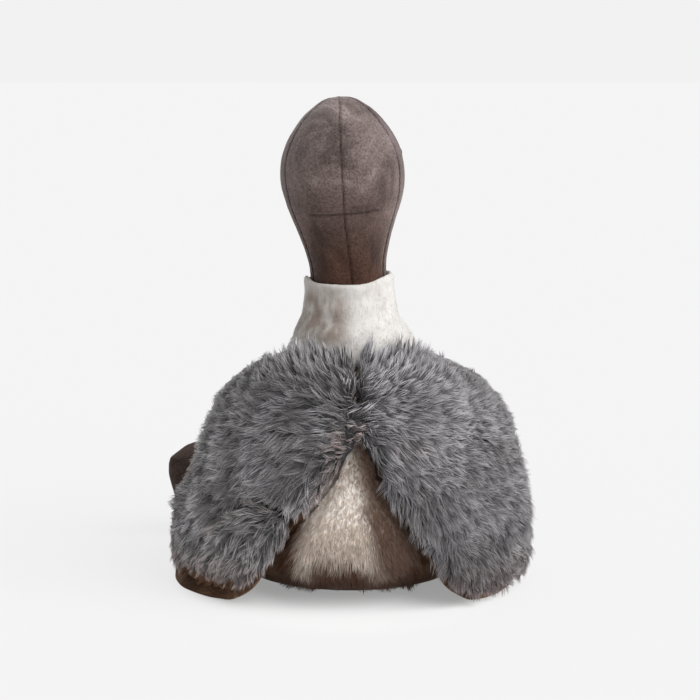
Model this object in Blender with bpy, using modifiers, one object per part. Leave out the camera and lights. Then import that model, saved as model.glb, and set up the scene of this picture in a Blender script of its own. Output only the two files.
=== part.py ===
"""Seated plush ibis: velvet head, bill, legs and feet, a cream fur neck, body and tail, grey shaggy
wings with velvet linings, and a velvet seat panel. Metres, +Z up, the bird faces -Y and sits on Z = 0."""

import math
import random

import bmesh
import bpy
from mathutils import Matrix, Vector

# Body: an oval stuffed bag, widest low down, that narrows to the neck seam
BODY_HEIGHT = 0.190
BODY_HALF_WIDTH = 0.119
BODY_BACK_DEPTH = 0.104
BODY_BELLY_DEPTH = 0.108
BODY_WIDEST_HEIGHT = 0.055
BODY_SHOULDER_FULLNESS = 0.8
BASE_ROUNDING = 0.050
NECK_SEAM_RADIUS = 0.051

# The whole torso slumps a little to the bird's right at the shoulders
SLUMP = 0.0075
SLUMP_HEIGHT = 0.135
SLUMP_REACH = 0.060

# Seat panel: velvet under the body that turns up behind it
PANEL_THICKNESS = 0.003
PANEL_SLACK = 0.0012
PANEL_REAR_HEIGHT = 0.078
PANEL_FRONT_HEIGHT = 0.014

# Neck: a fur sleeve whose rolled collar holds the throat of the head
NECK_HEIGHT = 0.064
COLLAR_WIDTH = 0.0062
COLLAR_FIT = 0.0006
COLLAR_DEPTH = 0.015
NECK_LEAN = 0.0036

# Head: egg shaped, on a throat that goes down into the collar
HEAD_HEIGHT = 0.171
THROAT_RADIUS = 0.0334
SKULL_HALF_WIDTH = 0.0540
SKULL_BACK_DEPTH = 0.0560
SKULL_FACE_DEPTH = 0.0600
SKULL_CROWN_HEIGHT = 0.0670
CROWN_BLUNTNESS = 0.67
HEAD_TILT_DEG = 3.2
SEAM_DEPTH = 0.0016
SEAM_WIDTH = 0.0030
SIDE_SEAM_DEG = 68
DART_HEIGHT = 0.0795
DART_REACH_DEG = 38
DART_FADE_DEG = 15

# Bill: long, tapered and curved down
BILL_LENGTH = 0.150
BILL_ROOT_RADIUS = 0.0195
BILL_TIP_RADIUS = 0.0065
BILL_HEIGHT = 0.100
BILL_INSET = 0.010
BILL_START_PITCH_DEG = 6
BILL_BEND_DEG = 62

# Eyes: snap-in plastic eyes, each locked by a washer behind the fabric
EYE_RADIUS = 0.0062
EYE_BULGE = 0.0048
EYE_SEAT = 0.0012
SHANK_RADIUS = 0.0022
SHANK_LENGTH = 0.0130
SHANK_POINT = 0.0010
WASHER_RADIUS = 0.0075
WASHER_THICKNESS = 0.0020
WASHER_DEPTH = 0.0060
WASHER_FIT = 0.0004
EYE_AZIMUTH_DEG = 118
EYE_HEIGHT = 0.118

# Wings: padded fur flaps that hang from the shoulders and spread on the floor. Each level is
# (height, first angle, last angle, how far the fur stands off the body at the first, middle and
# last angle). Angles are in degrees round the body from the middle of the back.
WING_LEVELS = (
    (0.201, 1, 98, 0.011, 0.013, 0.011),
    (0.176, 1, 103, 0.029, 0.036, 0.032),
    (0.138, 2, 106, 0.029, 0.036, 0.027),
    (0.100, 14, 105, 0.028, 0.034, 0.025),
    (0.058, 27, 102, 0.030, 0.038, 0.031),
    (0.009, 37, 92, 0.036, 0.042, 0.038),
)
WING_HANG_HEIGHT = 0.050
WING_SHOULDER_SLACK = 0.005
WING_THICKNESS = 0.028
WING_EDGE_THICKNESS = 0.006
WING_CORNER_LIFT = 0.020
WING_SHOULDER_DROP = 0.012
LINING_THICKNESS = 0.0045
LINING_REACH = 0.012
LINING_FRONT_REACH = 0.010
WING_CLEARANCE = 0.0016
LINING_CLEARANCE = 0.0026

# Fur locks: shingled tufts that stand in rows, each with a pointed tip
WING_LOCK_HEIGHT = 0.0060
BODY_LOCK_HEIGHT = 0.0032
LOCK_TIP = 0.0035
HEM_TIP = 0.0080
LOCK_DRIFT = 0.4
LOCK_STAGGER = 0.3
LOCK_STEP = 0.10

# Tail: a cream fur lobe over the rear of the seat panel. Each level is (height, width in percent of
# the gap between the wings, bulge)
TAIL_LEVELS = (
    (0.126, 60, 0.006),
    (0.104, 90, 0.011),
    (0.072, 102, 0.014),
    (0.038, 103, 0.016),
    (0.014, 96, 0.011),
)
TAIL_EDGE = 0.0040

# Legs and feet: stuffed velvet tubes with upright webbed feet
LEG_LENGTH = 0.094
HIP_RADIUS = 0.0185
ANKLE_RADIUS = 0.0140
LEG_FULLNESS = 0.0015
LEG_DEPTH_IN_BODY = 0.012
LEG_DEPTH_IN_FOOT = 0.006
LEFT_LEG_SPLAY_DEG = 46
RIGHT_LEG_SPLAY_DEG = 31
FOOT_HEIGHT = 0.084
FOOT_HEEL_HALF_WIDTH = 0.020
FOOT_TOE_HALF_WIDTH = 0.037
FOOT_THICKNESS = 0.026
TOE_LENGTH = 0.0060
TOE_GROOVE = 0.0036
FOOT_LEAN_DEG = 8

FIT = 0.0004
FLOOR_GAP = 0.0006

# How finely each piece is divided
BODY_COLUMNS = 36
PANEL_SHARES = (0, 0.05, 0.25, 0.6, 1)
BODY_LOCK_ROWS = 5
NECK_COLUMNS = 26
NECK_LOCK_ROWS = 3
WING_COLUMNS = 26
WING_LOCK_ROWS = 9
WING_INSIDE_STEP = 3
LINING_COLUMNS = 12
LINING_ROWS = 11
TAIL_COLUMNS = 12
TAIL_LOCK_ROWS = 5
HEAD_COLUMNS = 32
FOOT_COLUMNS = 24
FOOT_ROWS = 8
TURNED_STEPS = 12

VELVET = (0.150, 0.118, 0.108, 1)
CREAM_FUR = (0.700, 0.650, 0.590, 1)
GREY_FUR = (0.170, 0.168, 0.176, 1)
BLACK_PLASTIC = (0.010, 0.009, 0.009, 1)
WHITE_PLASTIC = (0.700, 0.690, 0.660, 1)

for old in list(bpy.data.objects):
    bpy.data.objects.remove(old, do_unlink=True)
plush = bpy.data.collections.new("plush_ibis")
helpers = bpy.data.collections.new("cutters")
bpy.context.scene.collection.children.link(plush)
bpy.context.scene.collection.children.link(helpers)


def material(name, colour, roughness):
    """A plain surface for one kind of fabric or plastic."""
    made = bpy.data.materials.new(name)
    made.use_nodes = True
    shader = made.node_tree.nodes["Principled BSDF"]
    shader.inputs["Base Color"].default_value = colour
    shader.inputs["Roughness"].default_value = roughness
    shader.inputs["Metallic"].default_value = 0.0
    return made


def add_piece(name, mesh, colour, roughness=0.9):
    """A named sub-part with its own material."""
    piece = bpy.data.objects.new(name, mesh)
    piece.data.materials.append(material(name + "_material", colour, roughness))
    plush.objects.link(piece)
    return piece


def add_cutter(name, mesh):
    """A shape that only cuts others."""
    cutter = bpy.data.objects.new(name, mesh)
    cutter.hide_render = True
    cutter.display_type = "WIRE"
    helpers.objects.link(cutter)
    return cutter


def cut(piece, cutter):
    """Cuts the cutter's shape out of the piece."""
    boolean = piece.modifiers.new("cut_" + cutter.name, "BOOLEAN")
    boolean.operation = "DIFFERENCE"
    boolean.solver = "EXACT"
    boolean.object = cutter


def finished_mesh(name, bm, smooth_deg=40):
    """A mesh of triangles from a bmesh, facing outwards and shaded smooth."""
    bmesh.ops.triangulate(bm, faces=bm.faces, quad_method="SHORT_EDGE")
    bmesh.ops.recalc_face_normals(bm, faces=bm.faces)
    if bm.calc_volume(signed=True) < 0:
        bmesh.ops.reverse_faces(bm, faces=bm.faces)
    mesh = bpy.data.meshes.new(name)
    bm.to_mesh(mesh)
    bm.free()
    mesh.shade_smooth()
    mesh.set_sharp_from_angle(angle=math.radians(smooth_deg))
    return mesh


def ringed_mesh(name, columns, rows, place):
    """A closed form from a sphere primitive. place(column, row) gives each point, where row 0 is the
    lower pole, row `rows` is the upper pole and column 0 is at the first angle."""
    bm = bmesh.new()
    bmesh.ops.create_uvsphere(bm, u_segments=columns, v_segments=rows, radius=1)
    for vertex in bm.verts:
        x, y, z = vertex.co
        row = round((1 - math.acos(max(-1, min(1, z))) / math.pi) * rows)
        column = round(math.atan2(x, y) / (2 * math.pi) * columns) % columns
        vertex.co = place(column, row)
    return finished_mesh(name, bm)


def quilted_mesh(name, columns, rows, place, inside_step=1):
    """A closed padded patch from a grid primitive. place(column, row, outer) gives each point, and
    inside_step merges that many cells each way on the inner face, which is plain."""
    bm = bmesh.new()
    bmesh.ops.create_grid(bm, x_segments=columns, y_segments=rows, size=1)
    back = bmesh.ops.extrude_face_region(bm, geom=list(bm.faces), use_keep_orig=True)["geom"]
    for vertex in (part for part in back if isinstance(part, bmesh.types.BMVert)):
        vertex.co.z = 1
    inner = {}
    for vertex in bm.verts:
        column = round((vertex.co.x + 1) / 2 * columns)
        row = round((vertex.co.y + 1) / 2 * rows)
        outer = vertex.co.z > 0.5
        vertex.co = place(column, row, outer)
        if not outer and 0 < column < columns and 0 < row < rows:
            inner[column, row] = vertex
    merged = {}
    for (column, row), vertex in inner.items():
        kept_column = min((column - 1) // inside_step * inside_step + 1 + inside_step // 2, columns - 1)
        kept_row = min((row - 1) // inside_step * inside_step + 1 + inside_step // 2, rows - 1)
        if inner[kept_column, kept_row] is not vertex:
            merged[vertex] = inner[kept_column, kept_row]
    bmesh.ops.weld_verts(bm, targetmap=merged)
    return finished_mesh(name, bm)


def turned_piece(name, profile, steps, colour=None, ring=False):
    """A turned solid from a profile of (radius, height), which runs down its outer side. A ring's
    profile is closed."""
    mesh = bpy.data.meshes.new(name)
    points = [(radius, 0, height) for radius, height in profile]
    edges = [(i, i + 1) for i in range(len(points) - 1)]
    if ring:
        edges.append((len(points) - 1, 0))
    mesh.from_pydata(points, edges, [])
    piece = add_cutter(name, mesh) if colour is None else add_piece(name, mesh, colour, 0.25)
    screw = piece.modifiers.new("turn", "SCREW")
    screw.steps = steps
    screw.render_steps = steps
    screw.use_merge_vertices = True
    screw.merge_threshold = 0.00005
    screw.use_smooth_shade = True
    return piece


def smooth(x):
    """0 below 0, 1 above 1, with a soft rise between."""
    x = max(0.0, min(1.0, x))
    return x * x * (3 - 2 * x)


def through(values, position):
    """A smooth value at a position between 0 and 1 along evenly placed values."""
    last = len(values) - 1
    place = max(0.0, min(1.0, position)) * last
    i = min(int(place), last - 1)
    t = place - i
    before = values[max(i - 1, 0)]
    here, there = values[i], values[i + 1]
    after = values[min(i + 2, last)]
    slope_in, slope_out = (there - before) / 2, (after - here) / 2
    return (
        (2 * t**3 - 3 * t**2 + 1) * here
        + (t**3 - 2 * t**2 + t) * slope_in
        + (3 * t**2 - 2 * t**3) * there
        + (t**3 - t**2) * slope_out
    )


def slump(height):
    """How far the torso leans sideways at this height."""
    return -SLUMP * math.exp(-(((height - SLUMP_HEIGHT) / SLUMP_REACH) ** 2))


def polar(angle_deg, radius, height):
    """A point round the body's axis, from the middle of the back towards the bird's left."""
    angle = math.radians(angle_deg)
    return Vector((slump(height) + radius * math.sin(angle), radius * math.cos(angle), height))


def body_fullness(height):
    """How full the body is at a height: 0 at the neck seam and 1 at its widest."""
    rise = (height - BODY_WIDEST_HEIGHT) / (BODY_HEIGHT - BODY_WIDEST_HEIGHT)
    return math.cos(math.pi / 2 * max(0.0, min(1.0, rise))) ** BODY_SHOULDER_FULLNESS


def base_rounding(height):
    """How far the body draws in towards its flat base at a height."""
    rise = max(0.0, min(1.0, height / BODY_WIDEST_HEIGHT))
    return BASE_ROUNDING * (1 - math.sqrt(1 - (1 - rise) ** 2))


def body_radius(angle_deg, height):
    """The body's reach from its axis, as an oval with a deeper belly than back."""
    angle = math.radians(angle_deg)
    depth = BODY_BACK_DEPTH if math.cos(angle) > 0 else BODY_BELLY_DEPTH
    full, drawn_in = body_fullness(height), base_rounding(height)
    across = NECK_SEAM_RADIUS + (BODY_HALF_WIDTH - NECK_SEAM_RADIUS) * full - drawn_in
    along = NECK_SEAM_RADIUS + (depth - NECK_SEAM_RADIUS) * full - drawn_in
    return across * along / math.hypot(along * math.sin(angle), across * math.cos(angle))


def panel_rim(angle_deg):
    """The height of the seat panel's upper edge: low in front and high behind."""
    behind = smooth((math.cos(math.radians(angle_deg)) + 0.6) / 1.4)
    return PANEL_FRONT_HEIGHT + (PANEL_REAR_HEIGHT - PANEL_FRONT_HEIGHT) * behind


def panel_point(angle_deg, share, inset):
    """A point inset from the seat panel's outer face, at a share of the way up to its rim."""
    height = panel_rim(angle_deg) * share
    below, above = max(height - 0.0005, 0), height + 0.0005
    widening = body_radius(angle_deg, above) - body_radius(angle_deg, below)
    slant = math.hypot(widening, above - below)
    radius = body_radius(angle_deg, height) - inset * (above - below) / slant
    return polar(angle_deg, radius, height + inset * widening / slant)


def lock_rows(count, rows_each):
    """Positions from 0 to 1 down the fur, with rows_each to a lock and a short step between locks."""
    pitch = 1 / count
    rows = []
    for lock in range(count):
        length = pitch * (1 - LOCK_STEP) if lock < count - 1 else pitch
        rows += [lock * pitch + length * i / (rows_each - 1) for i in range(rows_each)]
    return rows


def lock_relief(column, row, rows_each, chance):
    """(depth below the fur's surface from 0 to 1, tip from -1 to 1) at a point of the shingled locks."""
    lock, step = divmod(row, rows_each)
    ridge = (column + lock) % 2
    rise = step / (rows_each - 1)
    uneven = 0.8 + 0.4 * chance.random()
    height = (0.25 + 0.75 * rise) * ridge + 0.12 * (1 - ridge)
    return 1 - min(1.0, height * uneven), (1 if ridge else -0.5) * rise


def make_body():
    """The fur body, stepped in where the seat panel wraps it, with a flat top for the neck."""
    rows_each = 3
    above = lock_rows(BODY_LOCK_ROWS, rows_each)
    rows = 2 + len(PANEL_SHARES) + len(above)
    chance = random.Random(11)

    def place(column, row):
        angle = column / BODY_COLUMNS * 360
        rim = panel_rim(angle)
        if row == 0:
            return Vector((slump(0), 0, PANEL_THICKNESS + PANEL_SLACK))
        if row == rows:
            return Vector((slump(BODY_HEIGHT), 0, BODY_HEIGHT))
        if row <= len(PANEL_SHARES):
            share = PANEL_SHARES[row - 1]
            return panel_point(angle, share, PANEL_THICKNESS + PANEL_SLACK) + Vector((0, 0, FIT * share))
        if row == rows - 1:
            return polar(angle, body_radius(angle, BODY_HEIGHT), BODY_HEIGHT)
        step = row - len(PANEL_SHARES) - 1
        share = 1 - above[-1 - step]
        height = rim + FIT + (BODY_HEIGHT - rim - FIT) * share * 0.97
        sunk, tip = lock_relief(column, len(above) - 1 - step, rows_each, chance)
        fade = smooth((height - rim) / LOCK_TIP) if step else 0
        height = max(height - LOCK_TIP * tip * fade, rim + FIT + FLOOR_GAP * step)
        return polar(angle, body_radius(angle, height) - BODY_LOCK_HEIGHT * sunk * fade, height)

    return add_piece("body", ringed_mesh("body", BODY_COLUMNS, rows, place), CREAM_FUR)


def make_seat_panel():
    """The velvet panel that the bird sits on: a flat bottom that turns up into a dish."""
    count = len(PANEL_SHARES)
    rows = 1 + 2 * count

    def place(column, row):
        angle = column / BODY_COLUMNS * 360
        if row in (0, rows):
            return Vector((slump(0), 0, PANEL_THICKNESS if row else 0))
        if row <= count:
            return panel_point(angle, PANEL_SHARES[row - 1], 0)
        return panel_point(angle, PANEL_SHARES[2 * count - row], PANEL_THICKNESS)

    return add_piece("seat_panel", ringed_mesh("seat_panel", BODY_COLUMNS, rows, place), VELVET)


def neck_centre(height):
    """The neck leans to the bird's left as it rises, and its socket leans as the head does."""
    above = height - BODY_HEIGHT
    socket_floor = NECK_HEIGHT - COLLAR_DEPTH
    lean = NECK_LEAN * smooth(above / socket_floor)
    lean += math.tan(math.radians(HEAD_TILT_DEG)) * max(0, above - socket_floor)
    return Vector((slump(BODY_HEIGHT) + lean, 0, height))


def make_neck():
    """The fur sleeve between body and head, with a socket for the throat inside its collar."""
    rows_each = 3
    down = lock_rows(NECK_LOCK_ROWS, rows_each)
    socket_floor = NECK_HEIGHT - COLLAR_DEPTH
    inner = THROAT_RADIUS + COLLAR_FIT
    collar = inner + COLLAR_WIDTH
    rows = 1 + len(down) + 4
    chance = random.Random(5)

    def place(column, row):
        angle = math.radians(column / NECK_COLUMNS * 360)
        way = Vector((math.sin(angle), math.cos(angle), 0))
        if row == 0:
            return neck_centre(BODY_HEIGHT + FIT)
        if row == rows:
            return neck_centre(BODY_HEIGHT + socket_floor)
        if row <= len(down):
            share = 1 - down[-row]
            height = FIT + (NECK_HEIGHT - COLLAR_WIDTH / 2 - FIT) * share
            sunk, tip = lock_relief(column, len(down) - row, rows_each, chance)
            fade = 0 if row == 1 else smooth(share * 4) * smooth((1 - share) * 5)
            radius = NECK_SEAM_RADIUS + (collar - NECK_SEAM_RADIUS) * smooth(share)
            height -= LOCK_TIP * tip * fade / 2
            return neck_centre(BODY_HEIGHT + height) + way * (radius - BODY_LOCK_HEIGHT * sunk * fade)
        radius, height = (
            (collar - COLLAR_WIDTH * 0.35, NECK_HEIGHT),
            (inner + COLLAR_WIDTH * 0.2, NECK_HEIGHT),
            (inner, NECK_HEIGHT - COLLAR_WIDTH / 2),
            (inner, socket_floor),
        )[row - 1 - len(down)]
        return neck_centre(BODY_HEIGHT + height) + way * radius

    return add_piece("neck", ringed_mesh("neck", NECK_COLUMNS, rows, place), CREAM_FUR)


def head_frame():
    """Places the head's own frame, whose origin is the middle of the throat's flat end."""
    tilt = math.radians(HEAD_TILT_DEG)
    foot = neck_centre(BODY_HEIGHT + NECK_HEIGHT - COLLAR_DEPTH)
    foot.z += FIT + THROAT_RADIUS * math.sin(tilt)
    return Matrix.Translation(foot) @ Matrix.Rotation(tilt, 4, "Y")


def skull_radius(height, half_width):
    """The head's reach at a height above the throat's end: a straight throat that swells into an egg."""
    centre = HEAD_HEIGHT - SKULL_CROWN_HEIGHT
    if height > centre:
        rise = (height - centre) / (HEAD_HEIGHT - centre)
        return half_width * max(0.0, 1 - rise**2) ** CROWN_BLUNTNESS
    fall = smooth((centre - height) / (centre - COLLAR_DEPTH * 1.5))
    return half_width + (THROAT_RADIUS - half_width) * fall


def head_radius(angle_deg, height):
    """The head's reach at an angle from the middle of the back of the head."""
    angle = math.radians(angle_deg)
    depth = SKULL_BACK_DEPTH if math.cos(angle) > 0 else SKULL_FACE_DEPTH
    across = skull_radius(height, SKULL_HALF_WIDTH)
    along = skull_radius(height, depth)
    if across < 1e-6:
        return 0.0
    return across * along / math.hypot(along * math.sin(angle), across * math.cos(angle))


def head_point(angle_deg, height, inset=0.0):
    """A point of the head in its own frame."""
    angle = math.radians(angle_deg)
    radius = max(0.0, head_radius(angle_deg, height) - inset)
    return Vector((radius * math.sin(angle), radius * math.cos(angle), height))


def head_angles():
    """Angles of the head's columns: even, but close together on both sides of each seam."""
    seams = (0, SIDE_SEAM_DEG, 180, 360 - SIDE_SEAM_DEG)
    near = math.degrees(SEAM_WIDTH / 2 / SKULL_HALF_WIDTH)
    angles = []
    spare = HEAD_COLUMNS - 3 * len(seams)
    for first, last in zip(seams, seams[1:] + (360,)):
        between = round(spare * (last - first) / 360)
        start, end = first + near, last - near
        angles += [first, start]
        angles += [start + (end - start) * (i + 1) / (between + 1) for i in range(between)]
        angles += [end]
    return angles


def make_head():
    """The stuffed velvet head, drawn in along its seams and at the two darts above the nape."""
    angles = head_angles()
    seams = (0, SIDE_SEAM_DEG, 180, 360 - SIDE_SEAM_DEG)
    heights = [0.0, COLLAR_DEPTH]
    heights += [COLLAR_DEPTH + (DART_HEIGHT - SEAM_WIDTH / 2 - COLLAR_DEPTH) * i / 4 for i in range(1, 5)]
    heights += [DART_HEIGHT, DART_HEIGHT + SEAM_WIDTH / 2]
    top = HEAD_HEIGHT - DART_HEIGHT - SEAM_WIDTH / 2
    heights += [DART_HEIGHT + SEAM_WIDTH / 2 + top * math.sin(math.pi / 2 * i / 9) for i in range(1, 9)]
    rows = len(heights) + 1

    def place(column, row):
        if row == 0:
            return Vector((0, 0, 0))
        if row == rows:
            return Vector((0, 0, HEAD_HEIGHT))
        height, angle = heights[row - 1], angles[column]
        inset = SEAM_DEPTH if angle in seams and row > 2 else 0
        off_back = min(angle, 360 - angle)
        if height == DART_HEIGHT and off_back < DART_REACH_DEG:
            inset = max(inset, SEAM_DEPTH * smooth((DART_REACH_DEG - off_back) / DART_FADE_DEG))
        return head_point(angle, height, inset)

    head = add_piece("head", ringed_mesh("head", len(angles), rows, place), VELVET)
    head.matrix_world = head_frame()
    return head


def bill_curve(name, extra):
    """The bill's centre line as a tapered tube; extra widens it for the socket in the face."""
    curve = bpy.data.curves.new(name, "CURVE")
    curve.dimensions = "3D"
    curve.bevel_depth = 1.0
    curve.bevel_resolution = 2
    curve.use_fill_caps = True
    spline = curve.splines.new("POLY")
    steps = 12
    spline.points.add(steps)
    point = Vector((0, -head_radius(180, BILL_HEIGHT) + BILL_INSET + extra, BILL_HEIGHT))
    for i in range(steps + 1):
        share = i / steps
        radius = BILL_ROOT_RADIUS + (BILL_TIP_RADIUS - BILL_ROOT_RADIUS) * share**0.8
        end = smooth((1 - share) * steps / 1.6)
        spline.points[i].co = (*point, 1)
        spline.points[i].radius = radius * (0.35 + 0.65 * end) + extra
        pitch = math.radians(BILL_START_PITCH_DEG + BILL_BEND_DEG * share)
        stretch = BILL_LENGTH / steps if i < steps - 1 else BILL_TIP_RADIUS * 0.8
        point = point + Vector((0, -math.cos(pitch), -math.sin(pitch))) * stretch
    guide = bpy.data.objects.new(name + "_curve", curve)
    helpers.objects.link(guide)
    mesh = bpy.data.meshes.new_from_object(guide.evaluated_get(bpy.context.evaluated_depsgraph_get()))
    bpy.data.objects.remove(guide, do_unlink=True)
    bm = bmesh.new()
    bm.from_mesh(mesh)
    bmesh.ops.remove_doubles(bm, verts=bm.verts, dist=0.00005)
    return finished_mesh(name, bm)


def make_bill(head):
    """The stuffed bill, set a little way into the face."""
    bill = add_piece("bill", bill_curve("bill", 0.0), VELVET)
    bill.matrix_world = head_frame()
    socket = add_cutter("bill_socket", bill_curve("bill_socket", FIT))
    socket.matrix_world = head_frame()
    cut(head, socket)
    return bill


def eye_frame(side):
    """The frame of an eye: its origin is on the face and its +Z points outwards."""
    angle = EYE_AZIMUTH_DEG * side
    here = head_point(angle, EYE_HEIGHT)
    round_head = head_point(angle + 4, EYE_HEIGHT) - head_point(angle - 4, EYE_HEIGHT)
    up_head = head_point(angle, EYE_HEIGHT + 0.004) - head_point(angle, EYE_HEIGHT - 0.004)
    outwards = round_head.cross(up_head).normalized()
    if outwards.dot(here - Vector((0, 0, EYE_HEIGHT))) < 0:
        outwards = -outwards
    turn = outwards.to_track_quat("Z", "Y").to_matrix().to_4x4()
    return head_frame() @ Matrix.Translation(here - outwards * EYE_SEAT) @ turn


def make_eyes(head):
    """Both eyes with their washers, and the seats, holes and pockets that hold them in the head."""
    pocket_top = -WASHER_DEPTH + WASHER_FIT
    pocket_end = -WASHER_DEPTH - WASHER_THICKNESS - WASHER_FIT
    for side, word in ((1, "left"), (-1, "right")):
        dome = [
            (EYE_RADIUS * math.sin(math.pi / 2 * i / 4), EYE_BULGE * math.cos(math.pi / 2 * i / 4))
            for i in range(5)
        ]
        tail = [(SHANK_RADIUS, 0), (SHANK_RADIUS, -SHANK_LENGTH + SHANK_POINT), (0, -SHANK_LENGTH)]
        eye = turned_piece("eye_" + word, dome + tail, TURNED_STEPS, BLACK_PLASTIC)
        hole = SHANK_RADIUS + WASHER_FIT
        ring = [
            (WASHER_RADIUS, -WASHER_DEPTH),
            (WASHER_RADIUS, -WASHER_DEPTH - WASHER_THICKNESS),
            (hole, -WASHER_DEPTH - WASHER_THICKNESS),
            (hole, -WASHER_DEPTH),
        ]
        washer = turned_piece("eye_washer_" + word, ring, TURNED_STEPS, WHITE_PLASTIC, ring=True)
        wide = EYE_RADIUS + FIT
        void = [
            (0, EYE_BULGE * 2),
            (wide, EYE_BULGE * 2),
            (wide, -FIT),
            (hole, -FIT),
            (hole, pocket_top),
            (WASHER_RADIUS + FIT, pocket_top),
            (WASHER_RADIUS + FIT, pocket_end),
            (hole, pocket_end),
            (hole, -SHANK_LENGTH - FIT),
            (0, -SHANK_LENGTH - FIT),
        ]
        seat = turned_piece("eye_seat_" + word, void, TURNED_STEPS)
        for piece in (eye, washer, seat):
            piece.matrix_world = eye_frame(side)
        cut(head, seat)


def sided(point, side):
    """The point on the bird's left (1) or mirrored to its right (-1), clear of the middle."""
    middle = slump(point.z)
    return Vector((middle + max(point.x - middle, WING_CLEARANCE) * side, point.y, point.z))


def wing_base(angle, height):
    """The body's reach that a wing is measured from. The wing hangs straight past the body's rounded
    base, and stands a little clear of its shoulder."""
    return body_radius(angle, max(height - WING_SHOULDER_SLACK, WING_HANG_HEIGHT))


def wing_place(across, down):
    """(angle, height, stand-off) of the wing's fur surface, across 0 to 1 and down 0 to 1."""
    height, first, last, near, middle, far = (
        through([level[i] for level in WING_LEVELS], down) for i in range(6)
    )
    angle = first + (last - first) * across
    edge = abs(2 * across - 1)
    height += WING_CORNER_LIFT * edge**3 * down**4
    height -= WING_SHOULDER_DROP * across**3 * (1 - down) ** 4
    bend = near + far - 2 * middle
    stand = near + (far - near) * across + 2 * bend * across * (across - 1)
    return angle, height, stand


def wing_padding(across, down):
    """How padded the wing is: 0 at its edges and 1 over most of its middle."""
    return (1 - abs(2 * across - 1) ** 5) * smooth(down * 9 + 0.1) * smooth((1 - down) * 7)


def lining_radius(angle, height, inside):
    """The lining's outer face: against the wing's padding, but never nearer the body than it is thick."""
    nearest = wing_base(angle, height) + WING_CLEARANCE + LINING_THICKNESS
    return max(nearest, inside - LINING_CLEARANCE)


def wing_inside(padding, radius, angle, height):
    """The wing's inner face at a place where its fur surface has this radius."""
    thick = WING_EDGE_THICKNESS + (WING_THICKNESS - WING_EDGE_THICKNESS) * padding
    nearest = wing_base(angle, height) + WING_CLEARANCE + LINING_THICKNESS + LINING_CLEARANCE
    return max(nearest, radius - thick)


def wing_outside(padding, stand, angle, height):
    """The wing's fur surface, which rolls in towards its edges."""
    rolled = WING_EDGE_THICKNESS * (1 - padding)
    least = WING_CLEARANCE + LINING_THICKNESS + LINING_CLEARANCE + WING_EDGE_THICKNESS * 0.6
    return wing_base(angle, height) + max(least, stand - rolled)


def make_wing(side, word):
    """The grey fur panel of a wing, shingled with locks whose tips leave a ragged hem."""
    rows_each = 3
    downs = lock_rows(WING_LOCK_ROWS, rows_each)
    rows = len(downs) - 1
    chance = random.Random(21 + side)
    relief = {
        (column, row): lock_relief(column, row, rows_each, chance)
        for column in range(WING_COLUMNS + 1)
        for row in range(len(downs))
    }

    stagger = [LOCK_STAGGER * (2 * chance.random() - 1) / WING_LOCK_ROWS for _ in range(WING_COLUMNS + 1)]

    def place(column, row, outer):
        sunk, tip = relief[column, row] if outer else (0, 0)
        down = downs[row] + stagger[column] * smooth(downs[row] * 5) * smooth((1 - downs[row]) * 5)
        across = (column + LOCK_DRIFT * tip * (1 if column else -1)) / WING_COLUMNS
        padding = wing_padding(column / WING_COLUMNS, down)
        angle, height, stand = wing_place(across, down)
        hem = HEM_TIP if row == rows else LOCK_TIP * padding
        height = max(height - hem * tip, PANEL_THICKNESS)
        radius = wing_outside(padding, stand, angle, height)
        face = radius - WING_LOCK_HEIGHT * sunk * padding
        if not outer:
            face = wing_inside(padding, radius, angle, height)
        return sided(polar(angle, face, height), side)

    mesh = quilted_mesh("wing_" + word, WING_COLUMNS, rows, place, WING_INSIDE_STEP)
    return add_piece("wing_" + word, mesh, GREY_FUR)


def make_lining(side, word):
    """The velvet lining of a wing, which shows below and beside the fur. Its upper edge is sewn into
    the neck seam. Row 0 of the grid is that edge."""

    def place(column, row, outer):
        across, down = min(1, column / (LINING_COLUMNS - 1)), row / LINING_ROWS
        padding = wing_padding(across, down)
        angle, height, stand = wing_place(across, down)
        height = max(height - LINING_REACH * down**3, FLOOR_GAP)
        if column == LINING_COLUMNS:
            angle += math.degrees(LINING_FRONT_REACH / BODY_HALF_WIDTH)
        radius = wing_outside(padding, stand, angle, height)
        face = lining_radius(angle, height, wing_inside(padding, radius, angle, height))
        if row == 0 and not outer:
            return sided(polar(angle, NECK_SEAM_RADIUS + FIT, BODY_HEIGHT + FIT), side)
        return sided(polar(angle, face if outer else face - LINING_THICKNESS, height), side)

    mesh = quilted_mesh("wing_lining_" + word, LINING_COLUMNS, LINING_ROWS, place)
    return add_piece("wing_lining_" + word, mesh, VELVET)


def wing_gap(height):
    """The angle from the middle of the back to the edge of a wing at this height."""
    for upper, lower in zip(WING_LEVELS, WING_LEVELS[1:]):
        if height >= lower[0]:
            share = (upper[0] - height) / (upper[0] - lower[0])
            return upper[1] + (lower[1] - upper[1]) * share
    return WING_LEVELS[-1][1]


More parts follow.
